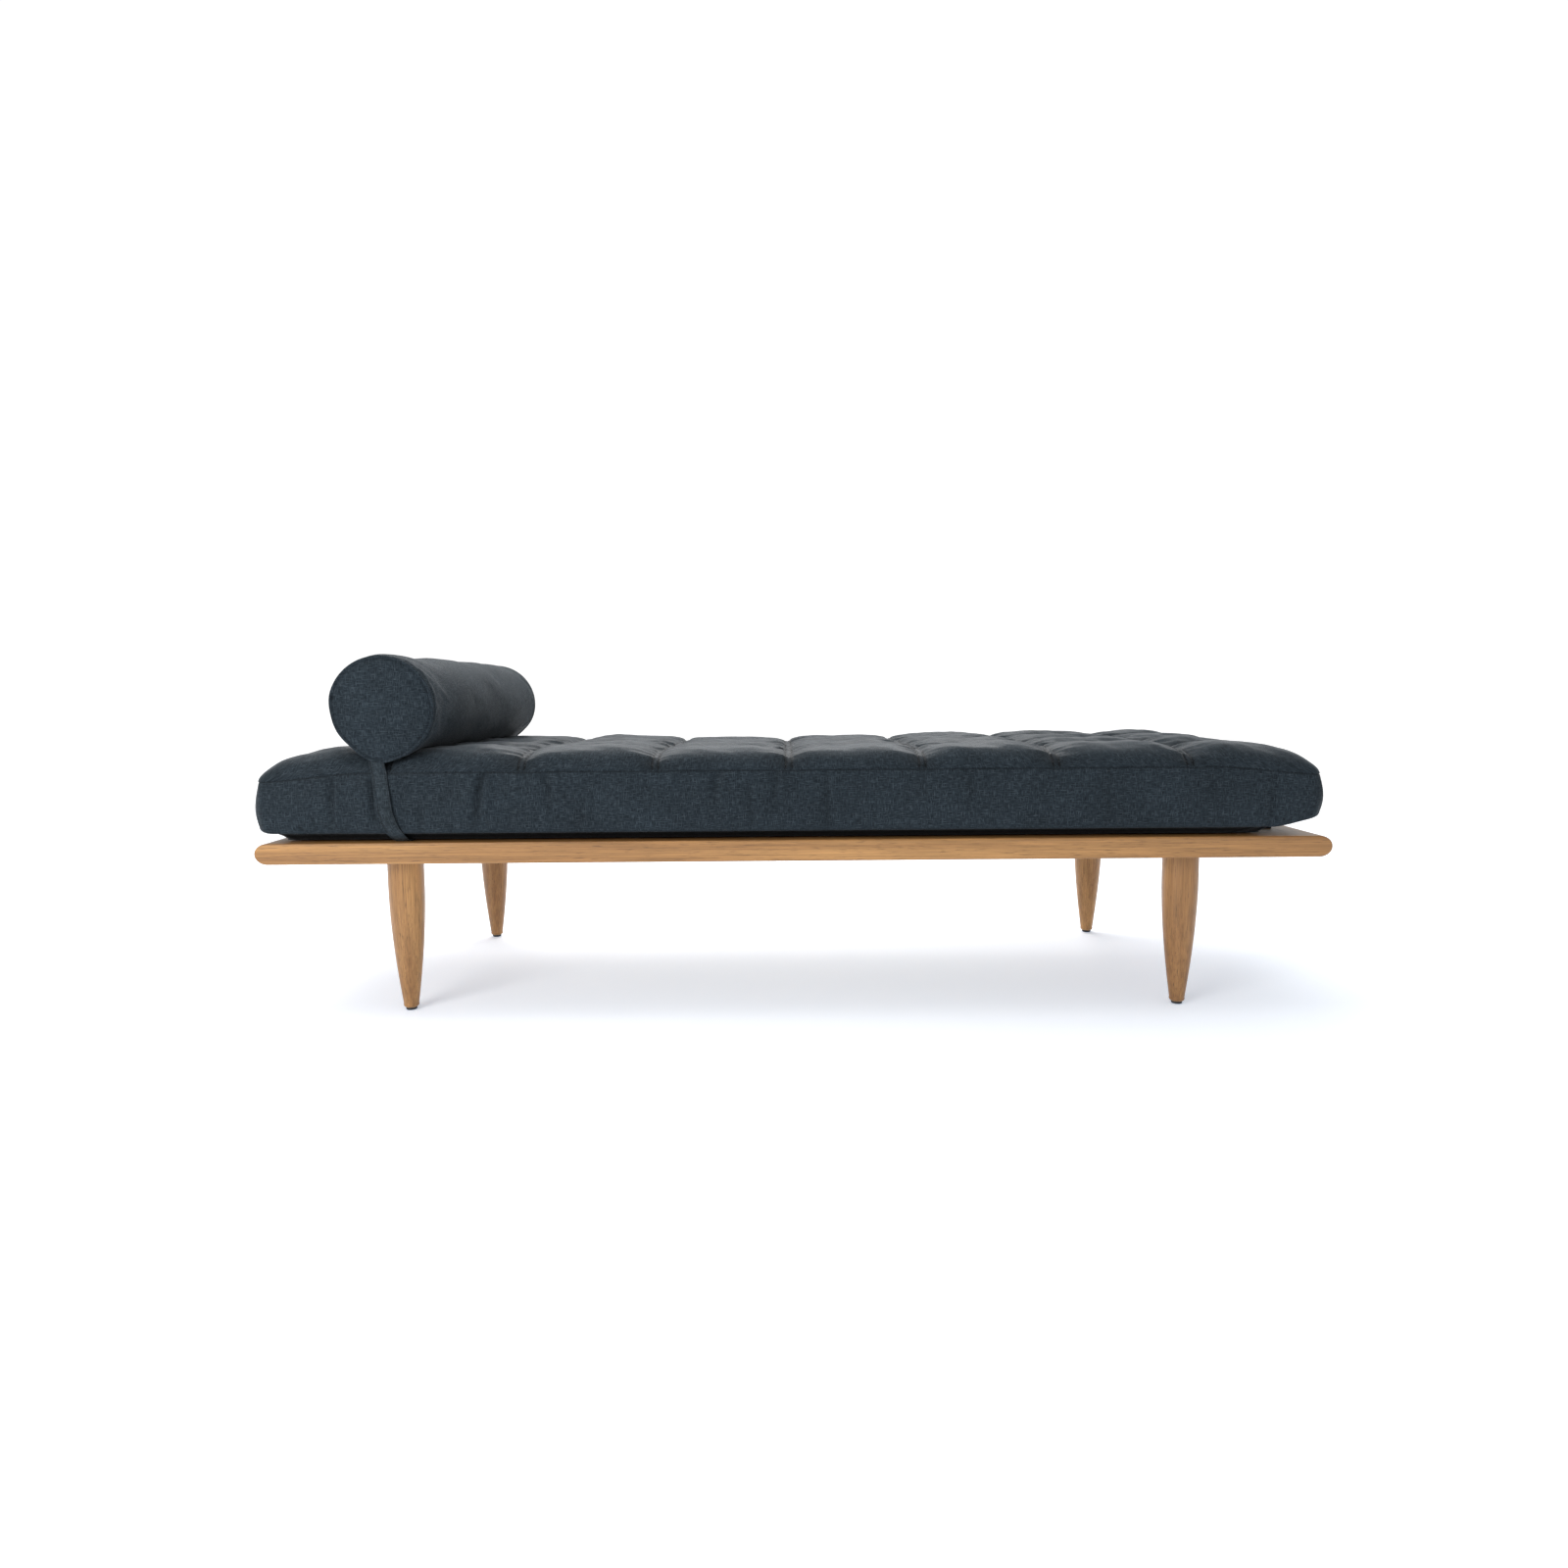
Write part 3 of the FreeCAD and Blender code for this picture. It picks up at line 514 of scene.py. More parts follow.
def top_surface(columns, rows, detail):
    """The quilted top, a crowned sheet with the channels pulled down into it.

    Gives its points, the normals of the plain crowned sheet, and the painted shade at each point.
    """
    x, y = np.meshgrid(columns, rows, indexing="ij")
    from_end = np.clip((HALF_LENGTH - np.abs(x)) / END_SHOULDER, 0, 1)
    from_side = np.clip((HALF_WIDTH - np.abs(y)) / SIDE_SHOULDER, 0, 1)
    rise_side = (1 - (1 - from_side) ** SIDE_FULLNESS) ** (1 / SIDE_FULLNESS)
    rise = np.sqrt(1 - (1 - from_end) ** 2) * rise_side
    seam = seam_height(x, y)
    crest = crest_height(x, y)
    plan_x, plan_y = round_corners(x, y)
    points = together(plan_x, plan_y, seam + (crest - seam) * rise)
    normal = normals_of(points)
    off_x, cross = nearest(x, CROSS_CHANNELS)
    off_y, long = nearest(y, LONG_CHANNELS)
    close_x = (1 - np.minimum(np.abs(off_x) / CHANNEL_REACH_X, 1)) ** CROSS_FALL
    close_y = (1 - np.minimum(np.abs(off_y) / CHANNEL_REACH_Y, 1)) ** LONG_FALL
    sink = -np.hypot(CROSS_DEPTH * close_x, LONG_DEPTH * close_y)
    on_band = np.maximum(bell(off_x, 0.9 * BAND, 4), bell(off_y, 0.9 * BAND, 4))
    sink += BAND_LIFT * on_band
    groove_x = bell(np.abs(off_x) - BAND, GROOVE_WIDTH)
    groove_y = bell(np.abs(off_y) - BAND, GROOVE_WIDTH)
    groove = np.maximum(groove_x, groove_y)
    gathers = puckers(y, off_x, 11) * 0.0013 + puckers(x, off_y, 23) * 0.0013
    radius = np.hypot(off_x, off_y)
    turn = np.arctan2(off_y, off_x)
    spokes = np.cos(8 * turn + 2.4 * cross + 1.3 * long) * (radius / 0.024) * np.exp(1 - radius / 0.024)
    gathers += spokes * 0.0010
    waves = drift(5, 0.115, x, y) * 0.0013 + drift(6, 0.040, x, y) * 0.00035
    settle = np.clip(rise * 1.15, 0, 1) ** 0.8
    offset = (sink + detail * (gathers + waves * (1 - on_band))) * settle
    offset = offset - STITCH_GROOVE * groove * smoothstep(rise / 0.25)
    points = points + normal * offset[..., None]
    # painted shade, darkest in the stitch grooves and toward the channels
    top_shade = 0.9 * groove + 0.75 * np.maximum(0.6 * close_x, close_y)
    return points, normal, np.clip(top_shade, 0, 1) * smoothstep(rise / 0.15)


WRINKLE_GAIN = 2.6           # the depths below are multiplied by this
WRINKLE_SHADE_DEPTH = 0.016           # a wrinkle this deep would be painted fully dark
# the most painted shade that a wrinkle gets
WRINKLE_SHADE_LIMIT = 0.45

# wrinkles in the front boxing: (place along the bed, lowest, highest, lean, depth, width)
FRONT_WRINKLES = [
    (-0.871, 0.335, 0.352, -0.45, 0.0030, 0.0040),
    (-0.852, 0.350, 0.372, 0.10, 0.0016, 0.0045),
    (-0.817, 0.360, 0.442, 0.04, 0.0018, 0.0060),
    (-0.745, 0.366, 0.428, -0.03, 0.0036, 0.0036),
    (-0.660, 0.340, 0.385, 0.05, 0.0013, 0.0060),
    (-0.556, 0.372, 0.450, 0.14, 0.0030, 0.0070),
    (-0.434, 0.385, 0.445, -0.08, 0.0014, 0.0070),
    (-0.377, 0.350, 0.400, 0.10, 0.0012, 0.0065),
    (-0.136, 0.390, 0.450, 0.12, 0.0016, 0.0070),
    (-0.075, 0.352, 0.420, -0.05, 0.0013, 0.0060),
    (-0.031, 0.395, 0.450, 0.10, 0.0017, 0.0060),
    (0.062, 0.350, 0.440, -0.06, 0.0013, 0.0070),
    (0.318, 0.380, 0.445, 0.10, 0.0010, 0.0080),
    (0.560, 0.350, 0.410, 0.06, 0.0010, 0.0080),
    (0.853, 0.345, 0.440, 0.08, 0.0016, 0.0060),
]


def scattered_wrinkles(seed, half, count):
    """Wrinkles for the three other sides, spread evenly with seeded variation."""
    random = np.random.default_rng(seed)
    places = np.linspace(-half * 0.9, half * 0.9, count) + random.uniform(-0.04, 0.04, count)
    wrinkles = []
    for place in places:
        low = random.uniform(0.340, 0.385)
        high = low + random.uniform(0.045, 0.08)
        lean = random.uniform(-0.15, 0.15)
        depth = random.uniform(0.001, 0.0024)
        width = random.uniform(0.005, 0.008)
        wrinkles.append((place, low, min(high, 0.45), lean, depth, width))
    return wrinkles


def wrinkle_offset(along, height, wrinkles):
    """Each wrinkle is a valley with a low ridge beside it, fading at both ends."""
    total = np.zeros(np.broadcast(along, height).shape)
    for place, low, high, lean, depth, width in wrinkles:
        middle = (low + high) / 2
        off = (along - place - lean * (height - middle)) / width
        fade = bell((height - middle) / (0.62 * (high - low)), power=4)
        total += WRINKLE_GAIN * depth * fade * (0.55 * bell(off - 2.0) - bell(off))
    return total


def wall_offset(x, y, height, t, on_end, on_side):
    """How far the boxing stands out from the plan outline, and the painted shade in its wrinkles."""
    left_swell = 0.0036 + 0.0014 * smoothstep((np.abs(y) - 0.285) / 0.03)
    swell = np.where(on_side > 0.7, 0.0048, np.where(x > 0, 0.0060, left_swell))
    offset = swell * np.sin(np.pi * np.clip(t / 1.12, 0, 1)) ** 0.9
    side_weight = smoothstep((on_side - 0.6) / 0.4)
    end_weight = smoothstep((on_end - 0.6) / 0.4)
    front = wrinkle_offset(x + MATTRESS_X, height, FRONT_WRINKLES)
    back = wrinkle_offset(x, height, scattered_wrinkles(31, HALF_LENGTH, 15))
    left = wrinkle_offset(y, height, scattered_wrinkles(32, HALF_WIDTH, 4))
    right = wrinkle_offset(y, height, scattered_wrinkles(33, HALF_WIDTH, 5))
    wrinkles = side_weight * np.where(y < 0, front, back)
    wrinkles = wrinkles + end_weight * np.where(x < 0, 0.5 * left, right)
    # painted shade in each wrinkle's valley, darker where it is deeper
    wrinkle_shade = np.clip(-wrinkles / WRINKLE_SHADE_DEPTH, 0, WRINKLE_SHADE_LIMIT)
    offset = offset + wrinkles
    run = np.where(on_side > on_end, x, y + 3.0)
    gathers = drift(41, 0.017, run, 0.2 * height) * np.exp(-t / 0.13)
    gathers = gathers + drift(42, 0.015, run, 0.2 * height) * np.exp(-(1.15 - t) / 0.16)
    waves = 0.0014 * drift(43, 0.16, run, height) * np.sin(np.pi * np.clip(t, 0, 1))
    offset = offset + 0.0005 * gathers + waves
    at_zip = (x < 0) & (on_end > 0.9) & (np.abs(y) < ZIP_HALF + 0.001)
    in_tape = smoothstep((0.0165 - np.abs(height - ZIP_HEIGHT)) / 0.004)
    return np.where(at_zip, offset * (1 - in_tape) - 0.0019 * in_tape, offset), wrinkle_shade


def outline(count_x, count_y):
    """Grid places round the edge, anticlockwise from the front left corner."""
    front = [(i, 0) for i in range(count_x - 1)]
    right = [(count_x - 1, j) for j in range(count_y - 1)]
    back = [(i, count_y - 1) for i in range(count_x - 1, 0, -1)]
    left = [(0, j) for j in range(count_y - 1, 0, -1)]
    return np.array(front + right + back + left)


def foot_shape(x, on_end):
    """Height of the lower seam, and the rounding of the edge above it, round the outline."""
    left_curl = LEFT_CURL * np.clip((-x - 0.68) / 0.25, 0, 1) ** 1.3
    seam = EDGE + EDGE_CURL * smoothstep((x - 0.868) / 0.080) + left_curl
    end_round = np.where(x < 0, 0.013, 0.014)
    rounding = 0.007 + (end_round - 0.007) * smoothstep((on_end - 0.3) / 0.6)
    return seam, rounding


def moved_in(x, y, left, right, side):
    """Shift outline points in under the mattress, by its own distance on each side."""
    reach = 0.30
    near_right = np.clip((x - (HALF_LENGTH - reach)) / reach, 0, 1)
    near_left = np.clip((-x - (HALF_LENGTH - reach)) / reach, 0, 1)
    return near_left * left - near_right * right, -side * y / HALF_WIDTH


def close_base(last, count_x, count_y):
    """Faces across the underside, from the last ring of vertices, facing down."""
    corner_right = count_x - 1
    corner_back = corner_right + count_y - 1
    corner_left = corner_back + count_x - 1
    front = last[: count_x]
    right = last[corner_right : corner_back + 1]
    back = last[corner_back : corner_left + 1][::-1]
    left = np.append(last[corner_left:], last[0])[::-1]
    middle = range(1, count_x - 2)
    faces = [[int(front[i]), int(back[i]), int(back[i + 1]), int(front[i + 1])] for i in middle]
    faces.append([int(v) for v in left] + [int(back[1]), int(front[1])])
    faces.append([int(front[-2]), int(back[-2])] + [int(v) for v in right[::-1]])
    return faces


UNDER_RINGS = 5              # rings of the underside, from its seam inward, painted near-black as shade
SEAM_SHADE = 0.5             # painted shade along the seam round the top


def mattress_shell(step, inset=0.0, detail=1.0, grooves=True):
    """Closed shell of the mattress: top grid, boxing rings, turned-under edge and base."""
    columns = grid_lines(HALF_LENGTH, CROSS_CHANNELS, END_SHOULDER, step)
    rows = grid_lines(HALF_WIDTH, LONG_CHANNELS, SIDE_SHOULDER, step)
    top, normal, top_shade = top_surface(columns, rows, detail)
    count_x, count_y = len(columns), len(rows)
    edge = outline(count_x, count_y)
    edge_x = columns[edge[:, 0]]
    edge_y = rows[edge[:, 1]]
    normal_x, normal_y = plan_normals(edge_x, edge_y)
    plan_x, plan_y = round_corners(edge_x, edge_y)
    seam = seam_height(edge_x, edge_y)
    groove = SEAM_GROOVE if grooves else 0.0
    top[edge[:, 0], edge[:, 1], 0] = plan_x - normal_x * groove
    top[edge[:, 0], edge[:, 1], 1] = plan_y - normal_y * groove
    top[edge[:, 0], edge[:, 1], 2] = seam
    on_end = np.abs(normal_x)
    on_side = np.abs(normal_y)
    rings = []
    wrinkle_shades = []
    edge_seam, edge_round = foot_shape(edge_x, on_end)
    foot = edge_seam + edge_round
    heights = np.concatenate([[0.022, 0.06], np.linspace(0.12, 1.0, int(0.1 / step) + 2)])
    for t in heights:
        height = seam + (foot - seam) * t
        out, wrinkle_shade = wall_offset(edge_x, edge_y, height, t, on_end, on_side)
        wrinkle_shades.append(wrinkle_shade)
        rings.append(together(plan_x + normal_x * out, plan_y + normal_y * out, height))
    foot_out, _ = wall_offset(edge_x, edge_y, foot, 1.0, on_end, on_side)
    for angle in (0.3, 0.6, 0.9, 1.2, 1.45):
        height = foot - edge_round * math.sin(angle)
        inward = 1 - math.cos(angle)
        move_x, move_y = moved_in(edge_x, edge_y, 0.012 * inward, 0.014 * inward, 0.006 * inward)
        out = foot_out * (1 - 0.5 * inward)
        rings.append(together(plan_x + normal_x * out + move_x, plan_y + normal_y * out + move_y, height))
    for share in (0.0, 0.06, 0.14, 0.4, 0.7, 1.0):
        groove_up = groove * (1 - abs(share - 0.06) / 0.06 if share < 0.1 else 0.0)
        height = edge_seam + (BASE - edge_seam) * share ** 2 + groove_up
        left, right, side = 0.013 + 0.025 * share, 0.016 + 0.080 * share, 0.007 + 0.017 * share
        move_x, move_y = moved_in(edge_x, edge_y, left, right, side)
        out = 0.5 * foot_out * (1 - share)
        rings.append(together(plan_x + normal_x * out + move_x, plan_y + normal_y * out + move_y, height))
    rings = np.array(rings)
    if inset:
        middle = np.array([0.0, 0.0, (BASE + SEAM_MIDDLE) / 2])
        shrink = np.array([1 - inset / HALF_LENGTH, 1 - inset / HALF_WIDTH, 1 - inset / 0.08])
        top = middle + (top - middle) * shrink
        rings = middle + (rings - middle) * shrink
    top_index = np.arange(count_x * count_y).reshape(count_x, count_y)
    edge_index = top_index[edge[:, 0], edge[:, 1]]
    ring_index = count_x * count_y + np.arange(len(rings) * len(edge)).reshape(len(rings), len(edge))
    all_rings = np.vstack([edge_index, ring_index])
    points = np.vstack([top.reshape(-1, 3), rings.reshape(-1, 3)])
    points = points + np.array([MATTRESS_X, 0, 0])
    faces = [grid_faces(top_index), band_faces(all_rings)]
    base_faces = close_base(ring_index[-1], count_x, count_y)
    run_x = np.cumsum(np.linalg.norm(np.diff(top, axis=0, prepend=top[:1]), axis=-1), axis=0)
    run_y = np.cumsum(np.linalg.norm(np.diff(top, axis=1, prepend=top[:, :1]), axis=-1), axis=1)
    flat_top = together(run_x - run_x[count_x // 2], run_y - run_y[:, count_y // 2][:, None])
    uv_top = flat_top.reshape(-1, 2)[grid_faces(top_index)]
    along = np.concatenate([[0], np.cumsum(np.hypot(np.diff(plan_x), np.diff(plan_y)))])
    levels = np.concatenate([[0], np.cumsum(np.full(len(rings), 0.1 / len(heights)))])
    u = np.broadcast_to(along, all_rings.shape)
    v = np.broadcast_to(-levels[:, None], all_rings.shape)
    total = along[-1] + np.hypot(plan_x[0] - plan_x[-1], plan_y[0] - plan_y[-1])
    u_ahead = np.roll(u, -1, axis=1).copy()
    u_ahead[:, -1] = total
    here = together(u, v)
    ahead = together(u_ahead, v)
    uv_rings = np.stack([here[:-1], here[1:], ahead[1:], ahead[:-1]], axis=-2)
    uv_base = [points[face][:, :2] for face in base_faces]
    uv = np.vstack([uv_top.reshape(-1, 2), uv_rings.reshape(-1, 2)] + uv_base)
    face_list = np.vstack(faces).tolist() + base_faces
    painted_shade = np.concatenate([top_shade.ravel(), np.zeros(len(rings) * len(edge))])
    # painted shade: the top seam is darkened
    painted_shade[edge_index] = SEAM_SHADE
    # painted shade in the boxing's wrinkles
    painted_shade[ring_index[: len(wrinkle_shades)]] = wrinkle_shades
    # painted shade: the turned-under edge is darkened to near-black, standing in for the shadow above the
    # rail
    painted_shade[ring_index[-UNDER_RINGS:]] = 1.0
    grid = {"painted_shade": painted_shade, "columns": columns, "rows": rows, "top": top_index, "normal": normal}
    return points, face_list, uv, grid


points, faces, uv, shell = mattress_shell(STEP)
cover = make_piece("mattress_cover", points, faces, upholstery, "mattress", uv, shell["painted_shade"])
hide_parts("mattress_top_panel", "mattress_boxing")
cover_tree = BVHTree.FromPolygons(points.tolist(), faces)
cover_points = points

FOAM_STEP = 0.03             # the hidden foam is coarser, and sits well inside its cover
FOAM_INSET = 0.014
foam_points, foam_faces, _, _ = mattress_shell(FOAM_STEP, FOAM_INSET, 0.0, False)
block = make_piece("mattress_foam", foam_points, foam_faces, foam, "mattress")
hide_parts("mattress_core")


def flat_panel(name, left, right, half_y, low, high, corner, finish, body):
    """A thin sheet with rounded corners: the lining sewn across the underside.

    left and right are how far it reaches either way from the mattress's middle.
    """
    outline_points = []
    corners = [(right, half_y, 0.0), (-left, half_y, 0.5), (-left, -half_y, 1.0), (right, -half_y, 1.5)]
    for x, y, quarter in corners:
        centre_x = x - math.copysign(corner, x)
        centre_y = y - math.copysign(corner, y)
        for turn in np.linspace(0, math.pi / 2, 7):
            angle = quarter * math.pi + turn
            outline_points.append((centre_x + corner * math.cos(angle), centre_y + corner * math.sin(angle)))
    ring = np.array(outline_points)
    count = len(ring)
    middle = ring.mean(axis=0)
    edge = 0.3 * (high - low)
    soft = middle + (ring - middle) * (1 - edge / half_y)
    levels = [(soft, low), (ring, low + edge), (ring, high - edge), (soft, high)]
    stack = np.vstack([np.column_stack([plan, np.full(count, z)]) for plan, z in levels])
    stack[:, 0] += MATTRESS_X
    faces = []
    for level in range(3):
        for k in range(count):
            ahead = (k + 1) % count
            lower = level * count
            upper = lower + count
            faces.append([lower + k, lower + ahead, upper + ahead, upper + k])
    faces.append(list(range(count))[::-1])
    faces.append(list(range(3 * count, 4 * count)))
    uv = np.vstack([stack[face][:, :2] for face in faces])
    return make_piece(name, stack, faces, finish, body, uv)


panel = flat_panel(
    "mattress_base", HALF_LENGTH - 0.040, HALF_LENGTH - 0.098, HALF_WIDTH - 0.025,
    BASE - 0.0002, BASE + 0.0016, 0.012, lining, "mattress",
)
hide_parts("mattress_base_panel")


# ---- stitches, laid along lines on a surface ----
def bead_template():
    """A short rounded stitch one unit long, on the X axis."""
    sections = [(-0.5, 0.0), (-0.36, 0.8), (0.0, 1.0), (0.36, 0.8), (0.5, 0.0)]
    sides = 5
    points = [(-0.5, 0.0, 0.0)]
    for place, radius in sections[1:-1]:
        for k in range(sides):
            angle = 2 * math.pi * k / sides
            points.append((place, radius * math.cos(angle), radius * math.sin(angle)))
    points.append((0.5, 0.0, 0.0))
    faces = []
    for k in range(sides):
        ahead = (k + 1) % sides
        faces.append([0, 1 + ahead, 1 + k, 1 + k])
        for ring in range(2):
            a = 1 + ring * sides
            b = a + sides
            faces.append([a + k, a + ahead, b + ahead, b + k])
        faces.append([1 + 2 * sides + k, 1 + 2 * sides + ahead, len(points) - 1, len(points) - 1])
    return np.array(points), faces


def resample(path, pitch):
    """Evenly spaced places along a polyline: points and unit directions."""
    steps = np.linalg.norm(np.diff(path, axis=0), axis=1)
    run = np.concatenate([[0], np.cumsum(steps)])
    count = max(2, int(run[-1] / pitch))
    places = (np.arange(count) + 0.5) * run[-1] / count

    def at(where):
        return together(*[np.interp(where, run, path[:, k]) for k in range(3)])

    direction = at(places + pitch * 0.3) - at(places - pitch * 0.3)
    return at(places), direction / np.linalg.norm(direction, axis=1, keepdims=True)


def stitch_points(paths, pitch, length, radius):
    """Bead vertices and faces for every stitch along all the paths."""
    template, template_faces = bead_template()
    blocks = []
    for path in paths:
        places, direction = resample(np.asarray(path), pitch)
        helper = np.where(np.abs(direction[:, 2:3]) > 0.9, [[1.0, 0, 0]], [[0, 0, 1.0]])
        side = np.cross(helper, direction)
        side /= np.linalg.norm(side, axis=1, keepdims=True)
        up = np.cross(direction, side)
        bead = (
            template[None, :, 0:1] * direction[:, None, :] * length
            + template[None, :, 1:2] * side[:, None, :] * radius
            + template[None, :, 2:3] * up[:, None, :] * radius
        )
        blocks.append((places[:, None, :] + bead).reshape(-1, 3))
    points = np.vstack(blocks)
    count = len(points) // len(template)
    faces = []
    for number in range(count):
        shift = number * len(template)
        for face in template_faces:
            moved = [corner + shift for corner in face]
            faces.append(moved[:3] if moved[2] == moved[3] else moved)
    return points, faces


def channel_paths():
    """Both stitch lines of every channel, just proud of the cover."""
    columns, rows, top, normal = shell["columns"], shell["rows"], shell["top"], shell["normal"]
    surface = cover_points[top] + normal * 0.0002
    paths = []
    for channel in CROSS_CHANNELS:
        for side in (-BAND, BAND):
            paths.append(surface[np.abs(columns - channel - side).argmin(), 3:-3])
    for channel in LONG_CHANNELS:
        for side in (-BAND, BAND):
            paths.append(surface[3:-3, np.abs(rows - channel - side).argmin()])
    return paths


points, faces = stitch_points(channel_paths(), 0.0056, 0.0040, 0.00050)
stitching = make_piece("mattress_stitching", points, faces, thread, "mattress")


# ---- bolster ----
def mattress_top_at(x, y):
    """Height of the mattress straight below a place, or a low level off its edge."""
    hit = cover_tree.ray_cast(Vector((x, y, 0.8)), Vector((0, 0, -1)))
    return hit[0].z if hit[0] is not None else 0.30


def bolster_profile(step, inset):
    """(y, radius) from the middle of the front cap, over the barrel, to the back."""
    radius = BOLSTER_RADIUS - inset
    half = BOLSTER_HALF - inset
    cap = [0.006, 0.02, 0.034, 0.048, 0.060, 0.070, 0.077, 0.083]
    shares = [(r, 1 - (r / radius) ** 2) for r in cap]
    front = [(-half - CAP_CROWN * crown, r) for r, crown in shares]
    band = radius - CAP_BAND
    if inset == 0:
        front += [
            (-half - 0.0006, band - 0.0018),
            (-half + 0.0016, band - 0.0002),
            (-half - 0.0008, band + 0.0016),
            (-half - 0.0012, radius - 0.0026),
            (-half - 0.0002, radius - 0.0010),
            (-half + 0.0014, radius - 0.0008),
            (-half + 0.0030, radius - 0.0034),
            (-half + 0.0048, radius - 0.0010),
        ]
    else:
        front += [(-half, band), (-half + 0.002, radius)]
    barrel = np.linspace(-half + 0.012, half - 0.012, int(2 * half / step))
    body = [(y, radius) for y in barrel]
    back = [(-y, r) for y, r in reversed(front)]
    return np.array(front + body + back)


def bolster_shell(step, sides, inset=0.0, detail=1.0):
    """Closed bolster: crowned caps, sewn rims, and an underside pressed on the mattress.

    Gives points, faces, weave coordinates, how firmly a settling cloth is held at each
    point, and the painted shade on the underside at each point.
    """
    profile = bolster_profile(step, inset)
    angles = 2 * math.pi * np.arange(sides) / sides
    y = np.repeat(profile[:, 0:1], sides, axis=1)
    radius = np.repeat(profile[:, 1:2], sides, axis=1)
    angle = np.repeat(angles[None, :], len(profile), axis=0)
    to_rim = BOLSTER_HALF - np.abs(y)
    on_barrel = smoothstep((to_rim - 0.001) / 0.006)
    share = np.clip(radius / BOLSTER_RADIUS, 0, 1)
    arc = angle * BOLSTER_RADIUS
    inside_rim = np.maximum(to_rim, 0)
    waist = -0.0016 * np.exp(-inside_rim / 0.02)
    gathers = drift(61, 0.014, arc, 0.3 * y) * 0.0009 * np.exp(-inside_rim / 0.016)
    slack = drift(62, 0.20, y, arc) * 0.0011 + drift(63, 0.06, 0.5 * y, arc) * 0.0004
    cap_slack = drift(64, 0.07, radius * np.sin(angle), radius * np.cos(angle)) * 0.0007
    radius = radius + detail * on_barrel * (waist + gathers + slack)
    y = y + detail * (1 - on_barrel) * np.sign(y) * cap_slack * (1 - share)
    flat_way = np.abs(y) / BOLSTER_HALF
    droop = smoothstep((flat_way - 0.72) / 0.28)
    point = np.exp(-(((angle - math.pi - 0.09 + math.pi) % (2 * math.pi) - math.pi) / 0.26) ** 2)
    radius = radius + detail * droop * share * (POINT_DROOP * point)
    flank = np.exp(-((np.abs(angle - math.pi) - 0.75) / 0.28) ** 2)
    radius = radius - detail * droop * share * FLANK_PULL * flank
    from_zip = (angle - BOLSTER_ZIP_ANGLE + math.pi) % (2 * math.pi) - math.pi
    in_tape = smoothstep((0.0150 - np.abs(from_zip) * BOLSTER_RADIUS) / 0.003) * (np.abs(y) < 0.2515)
    seat = BOLSTER_ZIP_SEAT / np.cos(np.clip(from_zip, -0.5, 0.5))
    radius = radius + detail * in_tape * (seat - radius)
    beside_zip = smoothstep((0.85 - np.abs(from_zip)) / 0.55)
    x = BOLSTER_X + BOLSTER_SKEW * y * (1 - detail * beside_zip) + radius * np.sin(angle)
    z = BOLSTER_Z + radius * np.cos(angle) - 0.001 * detail * np.maximum(np.cos(angle), 0)
    points = np.stack([x, y, z], axis=-1)
    for j, k in zip(*np.nonzero(z < SEAT_REACH)):
        here = mattress_top_at(x[j, k], y[j, k])
        there = mattress_top_at(x[j, k] + BOLSTER_TRAVEL, y[j, k])
        hidden = 0.6 + 0.4 * float(smoothstep((0.325 - abs(y[j, k])) / 0.03))
        floor = max(here, here + hidden * (there - here)) + 0.0008 + inset
        gap = (z[j, k] - floor) / SEAT_SOFTNESS
        points[j, k, 2] = SEAT_SOFTNESS * math.log1p(math.exp(-abs(gap))) + max(z[j, k], floor)
    index = np.arange(points.shape[0] * sides).reshape(points.shape[:2])
    ahead = np.roll(index, -1, axis=1)
    corners = [index[:-1], ahead[:-1], ahead[1:], index[1:]]
    faces = np.stack(corners, axis=-1).reshape(-1, 4)
    arc_now = np.repeat(arc[0:1], points.shape[0], axis=0)
    arc_ahead = np.roll(arc_now, -1, axis=1).copy()
    arc_ahead[:, -1] = 2 * math.pi * BOLSTER_RADIUS
    plan = points[..., [0, 2]]
    plan_ahead = np.roll(plan, -1, axis=1)
    barrel, barrel_ahead = together(arc_now, y), together(arc_ahead, y)
    on_cap = (profile[:-1, 1] < BOLSTER_RADIUS - 0.002) & (np.abs(profile[:-1, 0]) > BOLSTER_HALF - 0.004)
    here, ahead_uv = (plan, barrel), (plan_ahead, barrel_ahead)
    near, far = slice(None, -1), slice(1, None)
    uv = []
    for (cap_uv, barrel_uv), part in [(here, near), (ahead_uv, near), (ahead_uv, far), (here, far)]:
        uv.append(np.where(on_cap[:, None, None], cap_uv[part], barrel_uv[part]))
    uv = np.stack(uv, axis=-2).reshape(-1, 2)
    flat = np.vstack([points.reshape(-1, 3), points[0].mean(axis=0), points[-1].mean(axis=0)])
    front_pole = len(flat) - 2
    back_pole = len(flat) - 1
    poles = []
    for k in range(sides):
        after = (k + 1) % sides
        poles.append([front_pole, int(index[0, after]), int(index[0, k])])
        poles.append([back_pole, int(index[-1, k]), int(index[-1, after])])
    pole_uv = [flat[face][:, [0, 2]] for face in poles]
    on_rim = np.exp(-((to_rim - 0.001) / 0.006) ** 2) * (share > 0.9)
    at_zip = smoothstep((0.020 - np.abs(from_zip) * BOLSTER_RADIUS) / 0.006) * (np.abs(y) < 0.256)
    rested = smoothstep((0.512 - points[..., 2]) / 0.012)
    held = np.maximum(np.maximum(on_rim, at_zip), rested)
    held = np.concatenate([held.ravel(), [0.0, 0.0]])
